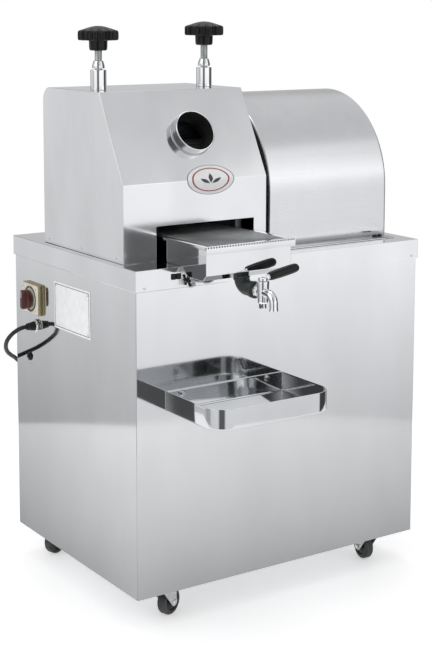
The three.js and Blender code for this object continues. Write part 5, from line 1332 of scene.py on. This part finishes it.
@dataclass(frozen=True)
class CupTray:
    """Deep tray with rounded front corners and a rolled rim, bolted to the front."""

    left: float = -252.0
    right: float = -5.0
    back: float = -0.3
    front: float = -155.0
    low: float = 387.0
    high: float = 423.0
    corner: float = 38.0

    def outline(self, inset: Array) -> Array:
        """The plan, moved in by the inset: straight sides and back, quarter circles at the front.

        Args:
            inset: One number for each row.

        Returns:
            Rows by points by two.
        """
        inset = inset[:, None]
        quarter = np.linspace(0, math.pi / 2, 17)
        r = np.maximum(self.corner - inset, 0.2)
        small = np.linspace(0, math.pi / 2, 6)
        q = np.maximum(2.5 - inset, 0.1)
        cx0, cx1, cy = self.left + self.corner, self.right - self.corner, self.front + self.corner
        bx0, bx1, by = self.left + 2.5, self.right - 2.5, self.back - 2.5
        x = np.hstack([cx0 - r * np.cos(quarter), cx1 + r * np.sin(quarter), bx1 + q * np.cos(small),
                       bx0 - q * np.sin(small)])
        y = np.hstack([cy - r * np.sin(quarter), cy - r * np.cos(quarter), by + q * np.sin(small),
                       by + q * np.cos(small)])
        return np.stack([x, y], -1)

    def build(self) -> None:
        """The tray as one skin round its wall, its floor, the bolts and washers."""
        wall = rounded([(30, self.low), (0, self.low, 3), (0, self.high - 2.4, 0.8), (-0.1, self.high, 0.8),
                        (1.8, self.high, 0.8), (1.5, self.high - 2.4, 0.5), (1.5, self.low + 1.5, 2.5),
                        (30, self.low + 1.5)], 7)
        plan = self.outline(np.minimum(wall[:, 0], 30))
        rows = np.dstack([plan, np.broadcast_to(wall[:, 1:], plan.shape[:2])])
        middle = np.array([(self.left + self.right) / 2, (self.front + self.back) / 2])

        def inward(row: Array, share: float) -> Array:
            """A row drawn in towards the middle."""
            return np.dstack([middle + (row[None, :, :2] - middle) * share, row[None, :, 2:]])

        rings = [inward(rows[0], s) for s in (0.0, 0.5)] + [rows] + [inward(rows[-1], s) for s in (0.5, 0.0)]
        Workshop.drawn("tray_skin", lattice(np.vstack(rings)), MIRROR, ("cup_tray",), sharp=40)
        bolts = []
        for x in (-220, -40):
            washer = lathe([(0, 0), (6, 0, 0.2), (6, 1, 0.3), (0, 1)], 3, 48)
            bolts += [washer.moved(spot(x, -1.8, 415, FRONT)), hexagon(8, 4).moved(spot(x, -2.7, 415, FRONT))]
        Workshop.piece("tray_bolts", Form.joined(bolts), NUT, sharp=30)


# Fittings on the left side


@dataclass(frozen=True)
class SideFittings:
    """Switch, bare rating plate, gland and reset button on the left side."""

    face: float = -310.0
    switch: tuple[float, float] = (382.0, 526.0)
    plate: tuple[float, float] = (229.0, 530.5)
    gland_place: tuple[float, float] = (371.0, 475.0)
    reset: tuple[float, float] = (404.0, 409.0)

    def on_side(self, y: float, z: float, lift: float = 0.0, tilt: float = 0.0) -> Matrix:
        """A place on the left side, so far off it, turned a little about its normal."""
        place = spot(self.face - lift, y, z, LEFT)
        return place @ Matrix.Rotation(math.radians(tilt), 4, "Z")

    def build(self) -> None:
        """All the fittings."""
        self.switch_box()
        self.rating_plate()
        self.gland()
        self.button()

    def switch_box(self) -> None:
        """A passivated frame, a cream face with a sunk dial, its screws, and the knob."""
        y, z = self.switch
        hole = ring(4.4, 32)
        frame_form = flat_sheet(rounded_box(66, 59, 3), [hole], 6.4, 0.6)
        Workshop.piece("switch_frame", frame_form.moved(self.on_side(y, z, 0.3)), OLIVE, ("switch_plate",))
        face_form = flat_sheet(rounded_box(63, 56, 5), [hole], 2.6, 0.9)
        Workshop.piece("switch_face", face_form.moved(self.on_side(y, z, 6.6)), CREAM)
        dial = lathe([(20.5, 0), (25, 0), (24.4, 0.9, 0.3), (21.1, 0.9, 0.3), (20.5, 0)], 4, 96)
        Workshop.piece("switch_dial", dial.moved(self.on_side(y, z, 8.9)), DARK)
        dot = turned(np.array([(0, 0), (1.1, 0), (1.1, 0.35), (0, 0.35)]), 20)
        marks = [dot.moved(self.on_side(y + 22.7 * math.sin(a), z + 22.7 * math.cos(a), 9.5))
                 for a in (0, math.pi / 2)]
        Workshop.piece("switch_marks", Form.joined(marks), PLATE)
        corners = [self.on_side(y + a, z + b, 9.2, 20) for a in (-26, 26) for b in (-22, 22)]
        heads("switch_screws", corners, NUT, 2.6, 1.2)
        self.knob(self.on_side(y, z, 13.5))

    @staticmethod
    def knob(place: Matrix) -> None:
        """Round knob with a grip bar: the height falls away on both sides of the bar beyond its width."""
        t = np.linspace(0, 1, 40)[:, None]
        turn = round_turn(128)
        r = 18.2 * np.sin(t * math.pi / 2) ** 0.8
        x, y = r * np.cos(turn), r * np.sin(turn)
        beside = np.clip((np.abs(x) - 4.2) / 1.6, 0, 1)
        ease = beside * beside * (3 - 2 * beside)
        top = 14.6 - 6.2 * ease - 1.6 * (r / 18.2) ** 8 + 0 * turn
        rim = np.stack([18.2 * np.cos(turn), 18.2 * np.sin(turn), 0 * turn], -1)[None]
        skin = np.vstack([np.stack([x, y, top], -1), rim, rim * 0])
        stem = turned(np.array([(0, -12), (3.9, -12), (3.9, 1), (0, 1)], float), 32)
        knob = Form.joined([lattice(skin), stem])
        Workshop.piece("switch_knob_moulding", knob.moved(place), RED, ("switch_knob",), "switch_rotor",
                       sharp=45)
        line = flat_sheet(rounded_box(1.4, 12, 0.6), [], 0.5, 0.1).moved(slid(0, 9.5, 14.2))
        Workshop.piece("switch_pointer", line.moved(place), PLATE, body="switch_rotor")

    def rating_plate(self) -> None:
        """A bare enamelled plate with a raised border and four screws."""
        y, z = self.plate
        base = flat_sheet(rounded_box(138, 87, 3), [], 0.9, 0.25)
        Workshop.piece("rating_plate", base.moved(self.on_side(y, z, 0.05, 0.6)), PLATE)
        border = flat_sheet(rounded_box(131, 80, 2), [rounded_box(129, 78, 2)], 0.3, 0.1)
        Workshop.piece("rating_border", border.moved(self.on_side(y, z, 0.9, 0.6)), INK)
        corners = [self.on_side(y + a, z + b, 0.9, 35) for a in (-61, 61) for b in (-36, 36)]
        heads("rating_screws", corners, NUT, 2.8, 1.3)

    def gland(self) -> None:
        """Gland: flanged nut and a tapered sleeve whose ribs get thinner towards the lead."""
        y, z = self.gland_place
        place = self.on_side(y, z, 0.3)
        s = np.linspace(3, 22, 90)
        taper = 9.5 - 3.3 * (s - 3) / 19 - 0.55 * (np.cos((s - 3) * 2.1) > 0.2) * (s > 6) * (s < 20.5)
        sleeve = np.vstack([[4.3, 3], np.c_[taper, s], [5.6, 22], [4.3, 22], [4.3, 3]])
        Workshop.piece("gland_sleeve", turned(sleeve, 56).moved(place), RUBBER, ("cord_gland",), sharp=30)
        Workshop.piece("gland_nut", hexagon(22, 4.6, 4.6).moved(place), NUT, sharp=25)
        collar = lathe([(4.6, 4.4), (10, 4.4, 0.3), (9.6, 6.2, 0.5), (4.6, 6.2), (4.6, 4.4)], 4, 64)
        Workshop.piece("gland_collar", collar.moved(place), NUT)

    def button(self) -> None:
        """Reset button: a domed plunger in a knurled ring."""
        y, z = self.reset
        place = self.on_side(y, z)
        dome = rounded([(0, -10), (4.3, -10), (4.3, 4.2, 1), (2.5, 5.8, 1), (0, 5.9)], 6)
        Workshop.piece("reset_plunger_cap", turned(dome, 48).moved(place), BLACK, ("reset_button",),
                       "reset_plunger")
        collar = rounded([(4.8, 0), (8.2, 0, 0.2), (8.2, 2.2, 0.5), (6, 3, 0.4), (4.8, 3), (4.8, 0)], 4)
        Workshop.piece("reset_ring", turned(collar, 144, self.knurl).moved(place), BLACK, sharp=25)
        marks = [self.on_side(y + a, z + b, 0.0) for a, b in ((-16, -14), (-4, -14), (8, -14))]
        heads("side_rivets", marks, SATIN, 1.5, 0.6)

    @staticmethod
    def knurl(turn: Array) -> Array:
        """The ring's 24 ridges, by angle."""
        return 1 + 0.018 * np.sign(np.sin(24 * turn))


def main() -> None:
    """Builds the studio, the lead and every assembly."""
    logging.basicConfig(level=logging.INFO, format="%(name)s: %(message)s")
    steps = [Studio(), PowerLead(), Cabinet(), RollerHead(), Hood(), PressureScrew("left", -262.0, 0.0),
             PressureScrew("right", -37.0, 7.0), DriveCover(), JuicePath(), CupTray(), SideFittings()]
    for step in steps:
        before = Workshop.made
        step.build()
        log.info("%s: %d pieces", type(step).__name__, Workshop.made - before)


if __name__ == "__main__":
    main()
